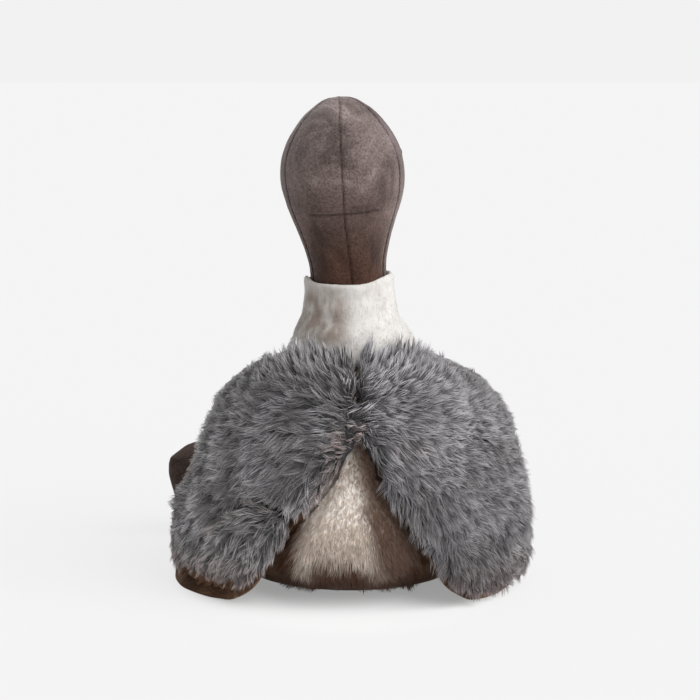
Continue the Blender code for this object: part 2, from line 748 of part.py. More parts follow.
def make_tail():
    """The cream fur lobe that hangs behind, over the seat panel."""
    rows_each = 3
    downs = lock_rows(TAIL_LOCK_ROWS, rows_each)
    rows = len(downs) - 1
    chance = random.Random(3)
    relief = {
        (column, row): lock_relief(column, row, rows_each, chance)
        for column in range(TAIL_COLUMNS + 1)
        for row in range(len(downs))
    }

    def place(column, row, outer):
        across, down = column / TAIL_COLUMNS * 2 - 1, downs[row]
        height, percent, bulge = (through([level[i] for level in TAIL_LEVELS], down) for i in range(3))
        sunk, tip = relief[column, row] if outer else (0, 0)
        padding = (1 - abs(across) ** 4) * smooth(down * 6) * smooth((1 - down) * 8)
        angle = wing_gap(height) * percent / 100 * across
        height = max(height - LOCK_TIP * tip * (1 if row == rows else padding), FLOOR_GAP)
        radius = body_radius(angle, height) + FIT
        if outer:
            radius += TAIL_EDGE + (bulge - TAIL_EDGE) * padding - BODY_LOCK_HEIGHT * sunk * padding
        return polar(angle, radius, height)

    return add_piece("tail", quilted_mesh("tail", TAIL_COLUMNS, rows, place), CREAM_FUR)


def leg_frame(splay_deg, side):
    """The frame of a leg: its origin is the hip's flat end and its +Z runs out along the leg."""
    way = Vector((math.sin(math.radians(splay_deg)) * side, -math.cos(math.radians(splay_deg)), 0))
    angle = math.degrees(math.atan2(way.x, way.y))
    start = body_radius(angle, HIP_RADIUS) - LEG_DEPTH_IN_BODY
    level = HIP_RADIUS + FLOOR_GAP
    turn = Matrix((Vector((0, 0, 1)).cross(way), Vector((0, 0, 1)), way)).transposed().to_4x4()
    return Matrix.Translation(way * start + Vector((slump(level), 0, level))) @ turn


def leg_mesh(name, extra):
    """A tapered stuffed tube along +Z; extra widens and lengthens it for the holes it sits in."""
    steps = 5
    rows = steps + 2

    def place(column, row):
        if row == 0:
            return Vector((0, 0, -extra))
        if row == rows:
            return Vector((0, 0, LEG_LENGTH + extra))
        share = (row - 1) / (rows - 2)
        fuller = LEG_FULLNESS * math.sin(math.pi * share)
        radius = HIP_RADIUS + (ANKLE_RADIUS - HIP_RADIUS) * share + fuller + extra
        angle = column / TURNED_STEPS * 2 * math.pi
        sag = (HIP_RADIUS - ANKLE_RADIUS) * share - fuller
        along = -extra + (LEG_LENGTH + 2 * extra) * share
        return Vector((radius * math.sin(angle), radius * math.cos(angle) - sag, along))

    return ringed_mesh(name, TURNED_STEPS, rows, place)


def foot_mesh(name):
    """An upright webbed foot: a pillow with three toes along its top, in its own frame."""
    half = FOOT_HEIGHT / 2

    def place(column, row):
        turn = column / FOOT_COLUMNS * 2 * math.pi
        slope = row / FOOT_ROWS * math.pi
        reach = math.sin(slope) ** 0.6
        up = math.cos(turn)
        share = (up + 1) / 2
        width = FOOT_HEEL_HALF_WIDTH + (FOOT_TOE_HALF_WIDTH - FOOT_HEEL_HALF_WIDTH) * smooth(share)
        toes = math.cos(7.2 * turn) if abs(math.remainder(turn, 2 * math.pi)) < math.radians(78) else -1
        length = half - TOE_LENGTH * (1 - toes) / 2 * max(0, up)
        across = width * math.sin(turn) * reach
        height = length * up * reach + half
        groove = TOE_GROOVE * (1 - toes) / 2 * max(0, up) * math.sin(slope)
        thick = (FOOT_THICKNESS / 2 - groove) * -math.cos(slope)
        return Vector((across, height, thick))

    return ringed_mesh(name, FOOT_COLUMNS, FOOT_ROWS, place)


def make_leg(side, word, splay_deg, pieces):
    """A leg set into the body, with its foot on the far end."""
    frame = leg_frame(splay_deg, side)
    leg = add_piece("leg_" + word, leg_mesh("leg_" + word, 0.0), VELVET)
    hole = add_cutter("leg_hole_" + word, leg_mesh("leg_hole_" + word, FIT))
    foot = add_piece("foot_" + word, foot_mesh("foot_" + word), VELVET)
    leg.matrix_world = frame
    hole.matrix_world = frame
    lean = Matrix.Rotation(math.radians(FOOT_LEAN_DEG), 4, "X")
    out = LEG_LENGTH - LEG_DEPTH_IN_FOOT + FOOT_THICKNESS / 2
    foot.matrix_world = frame @ Matrix.Translation((0, -HIP_RADIUS, out)) @ lean
    for piece in (*pieces, foot):
        cut(piece, hole)


body = make_body()
seat_panel = make_seat_panel()
make_neck()
make_tail()
head = make_head()
make_bill(head)
make_eyes(head)
for wing_side, wing_word in ((1, "left"), (-1, "right")):
    make_wing(wing_side, wing_word)
    make_lining(wing_side, wing_word)
make_leg(1, "left", LEFT_LEG_SPLAY_DEG, (body, seat_panel))
make_leg(-1, "right", RIGHT_LEG_SPLAY_DEG, (body, seat_panel))
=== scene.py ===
import math

import bmesh
import bpy
import numpy as np
from mathutils import Matrix, Vector, noise
from mathutils.bvhtree import BVHTree
from mathutils.kdtree import KDTree


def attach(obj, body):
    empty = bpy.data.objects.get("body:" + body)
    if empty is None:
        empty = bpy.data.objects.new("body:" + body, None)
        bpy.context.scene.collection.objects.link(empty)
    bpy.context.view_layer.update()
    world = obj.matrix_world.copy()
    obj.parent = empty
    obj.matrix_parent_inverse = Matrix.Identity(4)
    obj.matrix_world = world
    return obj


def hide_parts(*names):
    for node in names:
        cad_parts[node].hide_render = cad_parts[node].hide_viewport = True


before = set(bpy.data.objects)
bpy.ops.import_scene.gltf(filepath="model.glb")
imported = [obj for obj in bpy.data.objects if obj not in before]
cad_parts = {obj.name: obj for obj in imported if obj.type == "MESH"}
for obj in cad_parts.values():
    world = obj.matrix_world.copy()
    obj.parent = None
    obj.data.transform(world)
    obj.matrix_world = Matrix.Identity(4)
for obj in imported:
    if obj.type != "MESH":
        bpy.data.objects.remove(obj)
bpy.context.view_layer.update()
scene = bpy.context.scene

# The bird faces -Y and sits on Z = 0. Its left is +X, which is the left of the photograph, taken from
# behind. Angles go round the body from the middle of its back, in degrees.

view = {
    "azimuth": 180,
    "elevation": 10,
    "distance": 1.6,
    "metresPerPixel": 0.00084,
    "picture": 700,
    "target": (0.0, 0.02, 0.199),
    "sensor": 36,
}

light = {
    "key": 3.5,
    "keyPlace": (-1.45, 0.82, 1.32),
    "keySoftness": 60,
    "fill": 0.44,
    "background": (0.887, 0.887, 0.887),
    "floor": (0.95, 0.95, 0.95),
    "shadowMiddle": (0.0, -0.02, 0.0),
    "shadowReach": (0.126, 0.165),  # the shadow under the bird fades out beyond this ellipse
    "shadowFade": (0.9, 1.28),
    "floorWash": (0.34, 0.88),  # how much plain background the camera sees in the floor, near and far
}


# helpers for meshes
def smoothStep(x):
    x = np.clip(x, 0.0, 1.0)
    return x * x * (3 - 2 * x)


def above(x, start, over):
    # 0 up to start, then softly up to 1 over that much more
    return smoothStep((x - start) / over)


def below(x, start, over):
    # 0 down to start, then softly up to 1 over that much less
    return smoothStep((start - x) / over)


def hump(x, width):
    # 1 at 0, and falling off softly on both sides
    return np.exp(-((x / width) ** 2))


def link(obj):
    scene.collection.objects.link(obj)
    return obj


def newObject(name, bm):
    mesh = bpy.data.meshes.new(name)
    bm.to_mesh(mesh)
    bm.free()
    mesh.shade_smooth()
    return link(bpy.data.objects.new(name, mesh))


def coordsOf(obj, kind="co"):
    values = np.empty(len(obj.data.vertices) * 3)
    obj.data.vertices.foreach_get(kind, values)
    return values.reshape(-1, 3)


def normalsOf(obj):
    return coordsOf(obj, "normal")


def setCoords(obj, co):
    obj.data.vertices.foreach_set("co", np.ascontiguousarray(co, dtype=np.float32).ravel())
    obj.data.update()


def bakeModifiers(obj):
    graph = bpy.context.evaluated_depsgraph_get()
    mesh = bpy.data.meshes.new_from_object(obj.evaluated_get(graph))
    obj.modifiers.clear()
    old = obj.data
    obj.data = mesh
    bpy.data.meshes.remove(old)
    obj.data.shade_smooth()
    return obj


def cadShape(name, node, grow=0.0):
    bm = bmesh.new()  # a merged copy of a CAD node, grown or drawn in along its normals
    bm.from_mesh(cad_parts[node].data)
    bmesh.ops.remove_doubles(bm, verts=bm.verts, dist=0.00002)
    bm.normal_update()
    for vert in bm.verts:
        vert.co += vert.normal * grow
    return newObject(name, bm)


def remesh(obj, voxel, smooth=0):
    grid = obj.modifiers.new("remesh", "REMESH")
    grid.mode = "VOXEL"
    grid.voxel_size = voxel
    if smooth:
        ease = obj.modifiers.new("ease", "SMOOTH")
        ease.factor = 0.5
        ease.iterations = smooth
    return bakeModifiers(obj)


def subdivide(obj, levels):
    soft = obj.modifiers.new("soft", "SUBSURF")
    soft.levels = levels
    soft.render_levels = levels
    return bakeModifiers(obj)


clothForm = {"stiffness": 15.0, "bending": 0.4, "quality": 5, "steps": 20}


def puffUp(obj, pressure, cap, held=None):
    # blows the cover up like stuffing does; held marks the seam points that stay where they are
    rest = coordsOf(obj)
    fixed = held is not None and held.any()
    if fixed:
        group = obj.vertex_groups.new(name="held")
        group.add([int(i) for i in np.nonzero(held)[0]], 1.0, "REPLACE")
    cloth = obj.modifiers.new("puff", "CLOTH")
    cloth.settings.use_pressure = True
    cloth.settings.uniform_pressure_force = pressure
    cloth.settings.effector_weights.gravity = 0
    cloth.settings.tension_stiffness = cloth.settings.compression_stiffness = clothForm["stiffness"]
    cloth.settings.bending_stiffness = clothForm["bending"]
    cloth.settings.quality = clothForm["quality"]
    if fixed:
        cloth.settings.vertex_group_mass = "held"
    cloth.point_cache.frame_start = 1
    cloth.point_cache.frame_end = clothForm["steps"]
    for step in range(1, clothForm["steps"] + 1):
        scene.frame_set(step)
    bakeModifiers(obj)
    obj.vertex_groups.clear()
    scene.frame_set(1)
    move = coordsOf(obj) - rest
    far = np.linalg.norm(move, axis=1, keepdims=True)
    move *= np.minimum(1, cap / np.maximum(far, 1e-9))
    setCoords(obj, rest + np.nan_to_num(move))
    return obj


def triangles(obj):
    obj.data.calc_loop_triangles()
    return len(obj.data.loop_triangles)


def pushAlong(obj, amount):
    setCoords(obj, coordsOf(obj) + normalsOf(obj) * amount[:, None])


def noiseAt(points, scale, seed=0.0):
    return np.array([noise.noise(Vector(p) * scale + Vector((seed, seed, seed))) for p in points])


def finishPiece(obj, nodes, material):
    obj.data.materials.clear()
    obj.data.materials.append(material)
    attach(obj, "root")
    if nodes:
        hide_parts(*nodes)
    return obj


# materials
def newNode(socket, kind):
    # a new node in the same tree as the socket
    return socket.id_data.nodes.new("ShaderNode" + kind)


def setInputs(node, values):
    for title, value in values.items():
        node.inputs[title].default_value = value


def join(source, target):
    source.id_data.links.new(source, target)


def newMaterial(name, roughness, sheen=0.0, sheenRoughness=0.5, sheenTint=(1, 1, 1), specular=0.3):
    material = bpy.data.materials.new(name)
    material.use_nodes = True
    shader = material.node_tree.nodes["Principled BSDF"]
    setInputs(shader, {"Roughness": roughness, "Specular IOR Level": specular, "Sheen Weight": sheen})
    setInputs(shader, {"Sheen Roughness": sheenRoughness, "Sheen Tint": (*sheenTint, 1)})
    place = newNode(shader.outputs[0], "TexCoord").outputs["Object"]
    return material, shader, place


def noiseNode(place, scale, detail=4, roughness=0.55, distortion=0.0):
    made = newNode(place, "TexNoise")
    setInputs(made, {"Scale": scale, "Detail": detail, "Roughness": roughness, "Distortion": distortion})
    join(place, made.inputs["Vector"])
    return made.outputs["Fac"]


def rampNode(source, stops, interpolation="EASE"):
    made = newNode(source, "ValToRGB")
    made.color_ramp.interpolation = interpolation
    ends = made.color_ramp.elements
    while len(ends) < len(stops):
        ends.new(0.5)
    for end, (at, colour) in zip(ends, stops):
        end.position = at
        end.color = (*colour, 1)
    join(source, made.inputs["Fac"])
    return made.outputs["Color"]


def mixNode(kind, a, b, share):
    made = newNode(a, "Mix")
    made.data_type = "RGBA"
    made.blend_type = kind
    for socket, value in ((made.inputs[6], a), (made.inputs[7], b), (made.inputs[0], share)):
        if hasattr(value, "is_output"):
            join(value, socket)
        elif isinstance(value, (int, float)):
            socket.default_value = value
        else:
            socket.default_value = (*value, 1)
    return made.outputs[2]


def bumpNode(height, strength, distance, before=None):
    made = newNode(height, "Bump")
    setInputs(made, {"Strength": strength, "Distance": distance})
    join(height, made.inputs["Height"])
    if before:
        join(before, made.inputs["Normal"])
    return made.outputs["Normal"]


def marked(colour, tint, title="tintShare", kind="MULTIPLY"):
    # a piece's own attribute, from 0 to 1, says where the tint goes: the fabric's own tone on some pieces,
    # painted shade and warm floor bounce on others
    mark = newNode(colour, "Attribute")
    mark.attribute_name = title
    return mixNode(kind, colour, tint, mark.outputs["Fac"])


velvetLook = {
    "dark": (0.08, 0.059, 0.056),
    "middle": (0.15, 0.117, 0.111),
    "brushed": (0.236, 0.193, 0.187),
    "napStops": (0.36, 0.52, 0.66),
    "patches": 22,  # brushed patches of nap, per metre
    "flecks": 560,
    "grain": ((0.34, (0.56, 0.53, 0.52)), (0.62, (1.34, 1.33, 1.32))),
    "grainShare": 0.85,
    "fleckBump": (0.55, 0.0007),  # strength and depth
    "pile": 1100,
    "pileBump": (0.8, 0.0004),
    "seam": (0.46, 0.42, 0.4),  # the colour in a seam's furrow
    "sheen": 0.35,
    "sheenTint": (0.95, 0.88, 0.85),
    "face": (0.7, 0.65, 0.7),  # the panels beyond the side seams are brushed the other way
}


def velvet(name, dark, middle, brushed, shaded=None, sheen=0.16, sheenTint=(1.0, 0.76, 0.62)):
    look = velvetLook
    material, shader, place = newMaterial(
        name, 0.88, sheen=sheen, sheenRoughness=0.45, sheenTint=sheenTint, specular=0.12
    )
    nap = noiseNode(place, look["patches"], 6, 0.62, 0.8)
    colour = rampNode(nap, list(zip(look["napStops"], (dark, middle, brushed))))
    fleck = noiseNode(place, look["flecks"], 5, 0.7)
    grain = rampNode(fleck, look["grain"])
    colour = mixNode("MULTIPLY", colour, grain, look["grainShare"])
    if shaded:
        height = newNode(place, "SeparateXYZ")
        join(place, height.inputs["Vector"])
        spread = newNode(place, "MapRange")
        spread.interpolation_type = "SMOOTHSTEP"
        setInputs(spread, {"From Min": shaded["top"], "From Max": shaded["bottom"]})
        join(height.outputs["Z"], spread.inputs["Value"])
        colour = mixNode("MULTIPLY", colour, shaded["tint"], spread.outputs["Result"])
    colour = marked(colour, look["face"])
    colour = marked(colour, look["seam"], "seam")
    join(colour, shader.inputs["Base Color"])
    pile = noiseNode(place, look["pile"], 2, 0.6)
    soft = bumpNode(fleck, *look["fleckBump"])
    join(bumpNode(pile, *look["pileBump"], soft), shader.inputs["Normal"])
    return material


def backing(name, dark, light, tint):
    # the woven ground under the fur, with the shadow that lies between the locks
    material, shader, place = newMaterial(name, 0.95, specular=0.1)
    patch = noiseNode(place, 180, 4, 0.6)
    colour = rampNode(patch, [(0.35, dark), (0.65, light)])
    join(marked(colour, tint, kind="MIX"), shader.inputs["Base Color"])
    weave = noiseNode(place, 700, 3)
    join(bumpNode(weave, 0.6, 0.0008), shader.inputs["Normal"])
    return material


def furFinish(name, root, middle, tip, patchDark, tint, patchScale=14, sheen=0.25, spread=(0.42, 1.5)):
    # a lock's own map runs from 0 at its root to 1 at its tip, and holds a random number across it
    material, shader, place = newMaterial(
        name, 0.62, sheen=sheen, sheenRoughness=0.4, specular=0.22
    )
    lockMap = newNode(place, "UVMap")
    lockMap.uv_map = "lock"
    split = newNode(place, "SeparateXYZ")
    join(lockMap.outputs["UV"], split.inputs["Vector"])
    colour = rampNode(split.outputs["Y"], [(0.0, root), (0.45, middle), (0.95, tip)])
    shade = rampNode(split.outputs["X"], [(k, (spread[k],) * 3) for k in (0, 1)], "LINEAR")
    colour = mixNode("MULTIPLY", colour, shade, 1.0)
    patch = noiseNode(place, patchScale, 5, 0.6, 0.6)
    blotch = rampNode(patch, [(0.38, patchDark), (0.62, (1.08, 1.08, 1.08))])
    colour = mixNode("MULTIPLY", colour, blotch, 0.9)
    join(marked(colour, tint), shader.inputs["Base Color"])
    return material


headVelvet = velvet(
    "headVelvet", velvetLook["dark"], velvetLook["middle"], velvetLook["brushed"],
    shaded={"top": 0.385, "bottom": 0.262, "tint": (0.36, 0.215, 0.15)},  # painted shade and warm floor bounce: darker and browner down towards the throat
    sheen=velvetLook["sheen"], sheenTint=velvetLook["sheenTint"],
)
limbVelvet = velvet("limbVelvet", (0.034, 0.023, 0.02), (0.055, 0.039, 0.034), (0.09, 0.068, 0.06))
liningVelvet = velvet("liningVelvet", (0.06, 0.031, 0.017), (0.11, 0.061, 0.036), (0.205, 0.128, 0.084))
brown = (0.116, 0.064, 0.038)
greyBacking = backing("greyBacking", (0.022, 0.021, 0.023), (0.05, 0.049, 0.052), brown)
# on the cream covers the brown tint is painted shade and warm floor bounce, low on the rump and beside the
# wings
creamBacking = backing("creamBacking", (0.7, 0.64, 0.58), (0.86, 0.81, 0.76), brown)
# one grey fur in two copies, lighter on the left and darker on the right to even out the key light from the
# right (painted light). The tints are painted warm floor bounce and shade where the wings mark it. The left
# wing's fine dark blotches and wide spread of tuft shades are painted shade pockets between the locks
greyFur = {
    "left": furFinish(
        "leftGreyFur", (0.02, 0.018, 0.02), (0.178, 0.172, 0.179), (0.715, 0.695, 0.712),
        (0.5, 0.48, 0.48), (1.0, 0.8, 0.71), patchScale=38, spread=(0.3, 1.66),
    ),
    "right": furFinish(
        "rightGreyFur", (0.02, 0.018, 0.02), (0.132, 0.126, 0.134), (0.474, 0.458, 0.478),
        (0.58, 0.57, 0.57), (1.2, 1.0, 0.93), patchScale=18, spread=(0.58, 1.36),
    ),
}
# a darker copy of the grey fur: painted shade for the undercoat deep among the locks
greyUnderFur = furFinish(
    "greyUnderFur", (0.02, 0.019, 0.021), (0.1, 0.099, 0.104), (0.3, 0.298, 0.31), (0.68, 0.67, 0.67),
    (0.78, 0.62, 0.55),
)
# the tints of the cream, neck and rump furs are painted shade and warm floor bounce, where each piece marks
# it
creamFur = furFinish(
    "creamFur", (0.78, 0.71, 0.65), (0.94, 0.9, 0.86), (0.98, 0.965, 0.945), (0.9, 0.87, 0.85),
    (0.2, 0.125, 0.085), patchScale=18, sheen=0.4, spread=(0.8, 1.1),
)
neckPile = furFinish(
    "neckPile", (0.54, 0.52, 0.5), (0.6, 0.585, 0.57), (0.66, 0.65, 0.635), (0.93, 0.91, 0.895),
    (0.4, 0.31, 0.25), patchScale=24, sheen=0.3, spread=(0.85, 1.1),
)
rumpPile = furFinish(
    "rumpPile", (0.5, 0.38, 0.3), (0.67, 0.57, 0.49), (0.81, 0.725, 0.65), (0.88, 0.84, 0.8),
    (0.14, 0.062, 0.028), patchScale=18, sheen=0.05, spread=(0.78, 1.18),
)


def plush(name, dark, light, tint):
    # short smooth plush, with fine streaks where it is brushed downwards
    material, shader, place = newMaterial(name, 0.9, sheen=0.4, specular=0.12)
    stretch = newNode(place, "Mapping")
    stretch.inputs["Scale"].default_value = (1, 1, 0.22)
    join(place, stretch.inputs["Vector"])
    streak = noiseNode(stretch.outputs["Vector"], 650, 5, 0.65, 0.4)
    cloud = noiseNode(place, 60, 4, 0.6, 0.6)
    colour = rampNode(streak, [(0.34, dark), (0.62, light)])
    shade = rampNode(cloud, [(0.36, (0.88, 0.865, 0.85)), (0.6, (1.03, 1.03, 1.03))])
    colour = mixNode("MULTIPLY", colour, shade, 1.0)
    join(marked(colour, tint), shader.inputs["Base Color"])
    soft = bumpNode(cloud, 0.35, 0.002)
    join(bumpNode(streak, 0.3, 0.0005, soft), shader.inputs["Normal"])
    return material


# its brown tint is painted shade of the head on the left of the nape
neckPlush = plush("neckPlush", (0.54, 0.518, 0.492), (0.605, 0.588, 0.567), (0.34, 0.25, 0.2))
print("materials made")


def glossPlastic(name, colour, roughness):
    material, shader, place = newMaterial(name, roughness, specular=0.2)
    haze = noiseNode(place, 300, 3)
    join(
        rampNode(haze, [(0.3, colour), (0.8, tuple(c * 1.4 + 0.003 for c in colour))]),
        shader.inputs["Base Color"],
    )
    return material


eyePlastic = glossPlastic("eyePlastic", (0.004, 0.0035, 0.0035), 0.07)
washerPlastic = glossPlastic("washerPlastic", (0.72, 0.71, 0.68), 0.45)


# fur
def surfaceSpots(obj, count, seed):
    # evenly random points on a mesh, with the normal at each
    mesh = obj.data
    mesh.calc_loop_triangles()
    tris = np.empty(len(mesh.loop_triangles) * 3, dtype=np.int32)
    mesh.loop_triangles.foreach_get("vertices", tris)
    tris = tris.reshape(-1, 3)
    co, normal = coordsOf(obj), normalsOf(obj)
    a, b, c = (co[tris[:, k]] for k in range(3))
    area = np.linalg.norm(np.cross(b - a, c - a), axis=1) / 2
    rng = np.random.default_rng(seed)
    picked = rng.choice(len(tris), size=count, p=area / area.sum())
    u, v = rng.random(count), rng.random(count)
    flip = u + v > 1
    u[flip], v[flip] = 1 - u[flip], 1 - v[flip]
    shares = np.stack([1 - u - v, u, v], axis=1)[:, :, None]
    spots = (np.stack([a[picked], b[picked], c[picked]], axis=1) * shares).sum(axis=1)
    facing = (normal[tris[picked]] * shares).sum(axis=1)
    facing /= np.maximum(np.linalg.norm(facing, axis=1, keepdims=True), 1e-9)
    return spots, facing, rng


def markPoints(obj, values, title="tintShare"):
    mark = obj.data.attributes.new(title, "FLOAT", "POINT")
    mark.data.foreach_set("value", np.clip(values, 0, 1).astype(np.float32))


def unit(vectors):
    return vectors / np.maximum(np.linalg.norm(vectors, axis=-1, keepdims=True), 1e-9)


def lockShape(bent):
    # one tuft: a three-sided cone, with a ring at its middle where it bends
    bm = bmesh.new()
    bmesh.ops.create_cone(bm, cap_ends=True, segments=3, radius1=1, radius2=0, depth=1)
    bmesh.ops.translate(bm, verts=bm.verts, vec=(0, 0, 0.5))
    if bent:
        bmesh.ops.bisect_plane(
            bm, geom=[*bm.verts, *bm.edges, *bm.faces], dist=1e-6, plane_co=(0, 0, 0.5), plane_no=(0, 0, 1)
        )
    bmesh.ops.remove_doubles(bm, verts=bm.verts, dist=1e-4)
    bmesh.ops.recalc_face_normals(bm, faces=bm.faces)
    bm.verts.ensure_lookup_table()
    points = np.array([v.co[:] for v in bm.verts])
    faces = [[v.index for v in face.verts] for face in bm.faces]
    bm.free()
    return points, faces


lockShapes = {"bent": lockShape(True), "straight": lockShape(False)}


tuftForm = {  # what all the fur shares
    "lengths": (0.62, 1.15),  # random shares of each measure
    "lifts": (0.75, 1.25),
    "lies": (0.5, 1.5),
    "widths": (0.75, 1.25),
    "pulls": (0.7, 1.0),
    "gather": 1.3,  # how late along its length a tuft joins its lock
    "curl": 5.0,  # radians that its sideways wave turns from root to tip
    "crestRise": (1.3, 1.5),  # how steeply the crest stands, at its root and at its tip
    "crestLean": 0.6,
    "thickness": (1.0, 0.82, 0.0),  # at the root, the middle and the tip
    "flatness": 0.6,
    "offFloor": 1.5,  # in widths
}


def combFur(name, skin, seed, fur, keep, flow, lengthAt, tintShareAt):
    # grows tufts on a skin: flow gives the way they are combed, and tufts near each other
    # lean together into a lock
    form = tuftForm
    spots, facing, rng = surfaceSpots(skin, fur["tufts"], seed)
    kept = keep(spots, facing)
    spots, facing = spots[kept], facing[kept]
    total = len(spots)
    way = flow(spots)
    way = unit(way - facing * (way * facing).sum(axis=1, keepdims=True))
    side = np.cross(facing, way)
    way = unit(way + side * rng.normal(0, fur["stray"], (total, 1)))
    long = fur["length"] * rng.uniform(*form["lengths"], total) * lengthAt(spots)
    stands = above(spots[:, 2], 0.168, 0.024) * below(roundBody(spots)[0], 74, 32)
    stands = fur["crest"] * stands[:, None]
    lift = fur["lift"] * rng.uniform(*form["lifts"], (total, 1))
    lie = fur["lie"] * rng.uniform(*form["lies"], (total, 1))
    lying = way * (1 - form["crestLean"] * stands)
    rootRise, tipRise = form["crestRise"]
    first = unit(lying * np.cos(lift) + facing * np.sin(lift) + (0, 0, 1) * stands * rootRise)
    last = unit(lying * np.cos(lie) + facing * np.sin(lie) + (0, 0, 1) * (stands * tipRise - fur["droop"]))
    phase = rng.uniform(0, 2 * math.pi, (total, 1))
    seeds = rng.choice(total, size=max(1, int(total / fur["tuftsPerLock"])), replace=False)
    tree = KDTree(len(seeds))
    for i, k in enumerate(seeds):
        tree.insert(spots[k], i)
    tree.balance()
    nearest = np.array([seeds[tree.find(p)[1]] for p in spots])

    def spine(t):
        here = spots + long[:, None] * (first * t + (last - first) * t * t / 2)
        sway = np.sin(phase[nearest] + t * form["curl"]) - np.sin(phase[nearest])
        here = here + side * sway * fur["wave"] * t
        pull = fur["clump"] * rng.uniform(*form["pulls"], (total, 1)) if t > 0 else 0
        return here + (here[nearest] - here) * pull * t ** form["gather"]

    root, middle, tip = spine(0.0) - facing * fur["sink"], spine(0.5), spine(1.0)
    for row in (root, middle, tip):
        row[:, 2] = np.maximum(row[:, 2], fur["width"] * form["offFloor"])  # the tufts rest on the floor
    rows = (root, middle, tip)
    along = (unit(middle - root), unit(tip - root), unit(tip - middle))
    width = fur["width"] * rng.uniform(*form["widths"], (total, 1))
    shape = lockShapes[fur["shape"]]
    points = np.empty((total, len(shape[0]), 3))
    for k, (x, y, z) in enumerate(shape[0]):
        ring = int(round(z * 2))
        across = unit(np.cross(along[ring], facing))
        up = np.cross(across, along[ring])
        reach = form["thickness"][ring] * width
        around = math.atan2(y, x)
        ringAt = across * math.cos(around) + up * math.sin(around) * form["flatness"]
        points[:, k] = rows[ring] + ringAt * reach
    coat = lockMesh(name, points, shape, rng)
    markPoints(coat, np.repeat(tintShareAt(spots), len(shape[0])))
    return coat


def lockMesh(name, points, shape, rng):
    lockPoints, lockFaces = shape
    total, each = points.shape[0], points.shape[1]
    mesh = bpy.data.meshes.new(name)
    mesh.vertices.add(total * each)
    mesh.vertices.foreach_set("co", points.astype(np.float32).ravel())
    corners = np.concatenate([np.array(face) for face in lockFaces])
    sizes = np.array([len(face) for face in lockFaces])
    shift = np.arange(total)[:, None] * each
    loops = (corners[None, :] + shift).ravel()
    mesh.loops.add(len(loops))
    mesh.loops.foreach_set("vertex_index", loops.astype(np.int32))
    mesh.polygons.add(total * len(sizes))
    starts = np.concatenate([[0], np.cumsum(sizes)[:-1]])
    starts = (starts[None, :] + np.arange(total)[:, None] * sizes.sum()).ravel()
    mesh.polygons.foreach_set("loop_start", starts.astype(np.int32))
    mesh.polygons.foreach_set("loop_total", np.tile(sizes, total).astype(np.int32))
    mesh.polygons.foreach_set("use_smooth", np.ones(total * len(sizes), dtype=bool))
    mesh.update(calc_edges=True)
    # the lock map for the colour, and a map with a cell for each tuft for the bake
    height = lockPoints[:, 2]
    turn = np.arctan2(lockPoints[:, 1], lockPoints[:, 0]) / (2 * math.pi) + 0.5
    u, v = [], []
    for face in lockFaces:
        turns = np.array([turn[k] if height[k] < 0.99 else np.nan for k in face])
        if np.nanmax(turns) - np.nanmin(turns) > 0.5 and len(set(height[face])) > 1:
            turns = np.where(turns < 0.5, turns + 1, turns)
        turns = np.where(np.isnan(turns), np.nanmean(turns), turns)
        flat = len(set(np.round(height[face], 3))) == 1
        u += list(turns / 1.35 if not flat else np.array([0.1, 0.9, 0.5])[: len(face)])
        v += list(0.12 + 0.88 * height[face] if not flat else np.array([0.0, 0.0, 0.1])[: len(face)])
    u, v = np.array(u), np.array(v)
    grid = int(math.ceil(math.sqrt(total)))
    cell = np.arange(total)
    corner = np.stack([cell % grid, cell // grid], axis=1) / grid
    bakeUv = np.empty((total, len(u), 2), dtype=np.float32)
    bakeUv[..., 0] = corner[:, :1] + (0.06 + 0.86 * u[None, :]) / grid
    bakeUv[..., 1] = corner[:, 1:] + (0.06 + 0.88 * v[None, :]) / grid
    lockUv = np.empty_like(bakeUv)
    lockUv[..., 0] = rng.random((total, 1))
    lockUv[..., 1] = height[corners][None, :]
    for title, values in (("OFBake", bakeUv), ("lock", lockUv)):
        layer = mesh.uv_layers.new(name=title)
        layer.data.foreach_set("uv", values.ravel())
    return link(bpy.data.objects.new(name, mesh))


# the camera, the floor and the lights
def placeCamera():
    turn, rise = math.radians(view["azimuth"]), math.radians(view["elevation"])
    toEye = Vector((-math.sin(turn) * math.cos(rise), -math.cos(turn) * math.cos(rise), math.sin(rise)))
    target = Vector(view["target"])
    data = bpy.data.cameras.new("camera")
    data.sensor_width = view["sensor"]
    data.lens = view["sensor"] * view["distance"] / (view["picture"] * view["metresPerPixel"])
    data.clip_end = 100
    camera = link(bpy.data.objects.new("camera", data))
    camera.location = target + toEye * view["distance"]
    camera.rotation_euler = (-toEye).to_track_quat("-Z", "Y").to_euler()
    scene.camera = camera


def backgroundWhenSeen(nodes, lit, seen, mixer):
    # the plain background shows to the camera and in reflections, and the other shader lights the scene
    path = nodes.new("ShaderNodeLightPath")
    direct = path.outputs["Is Camera Ray"]
    for kind in ("Is Glossy Ray", "Is Transmission Ray"):
        either = nodes.new("ShaderNodeMath")
        either.operation = "MAXIMUM"
        join(direct, either.inputs[0])
        join(path.outputs[kind], either.inputs[1])
        direct = either.outputs[0]
    join(direct, mixer.inputs["Fac"])
    join(lit, mixer.inputs[1])
    join(seen, mixer.inputs[2])


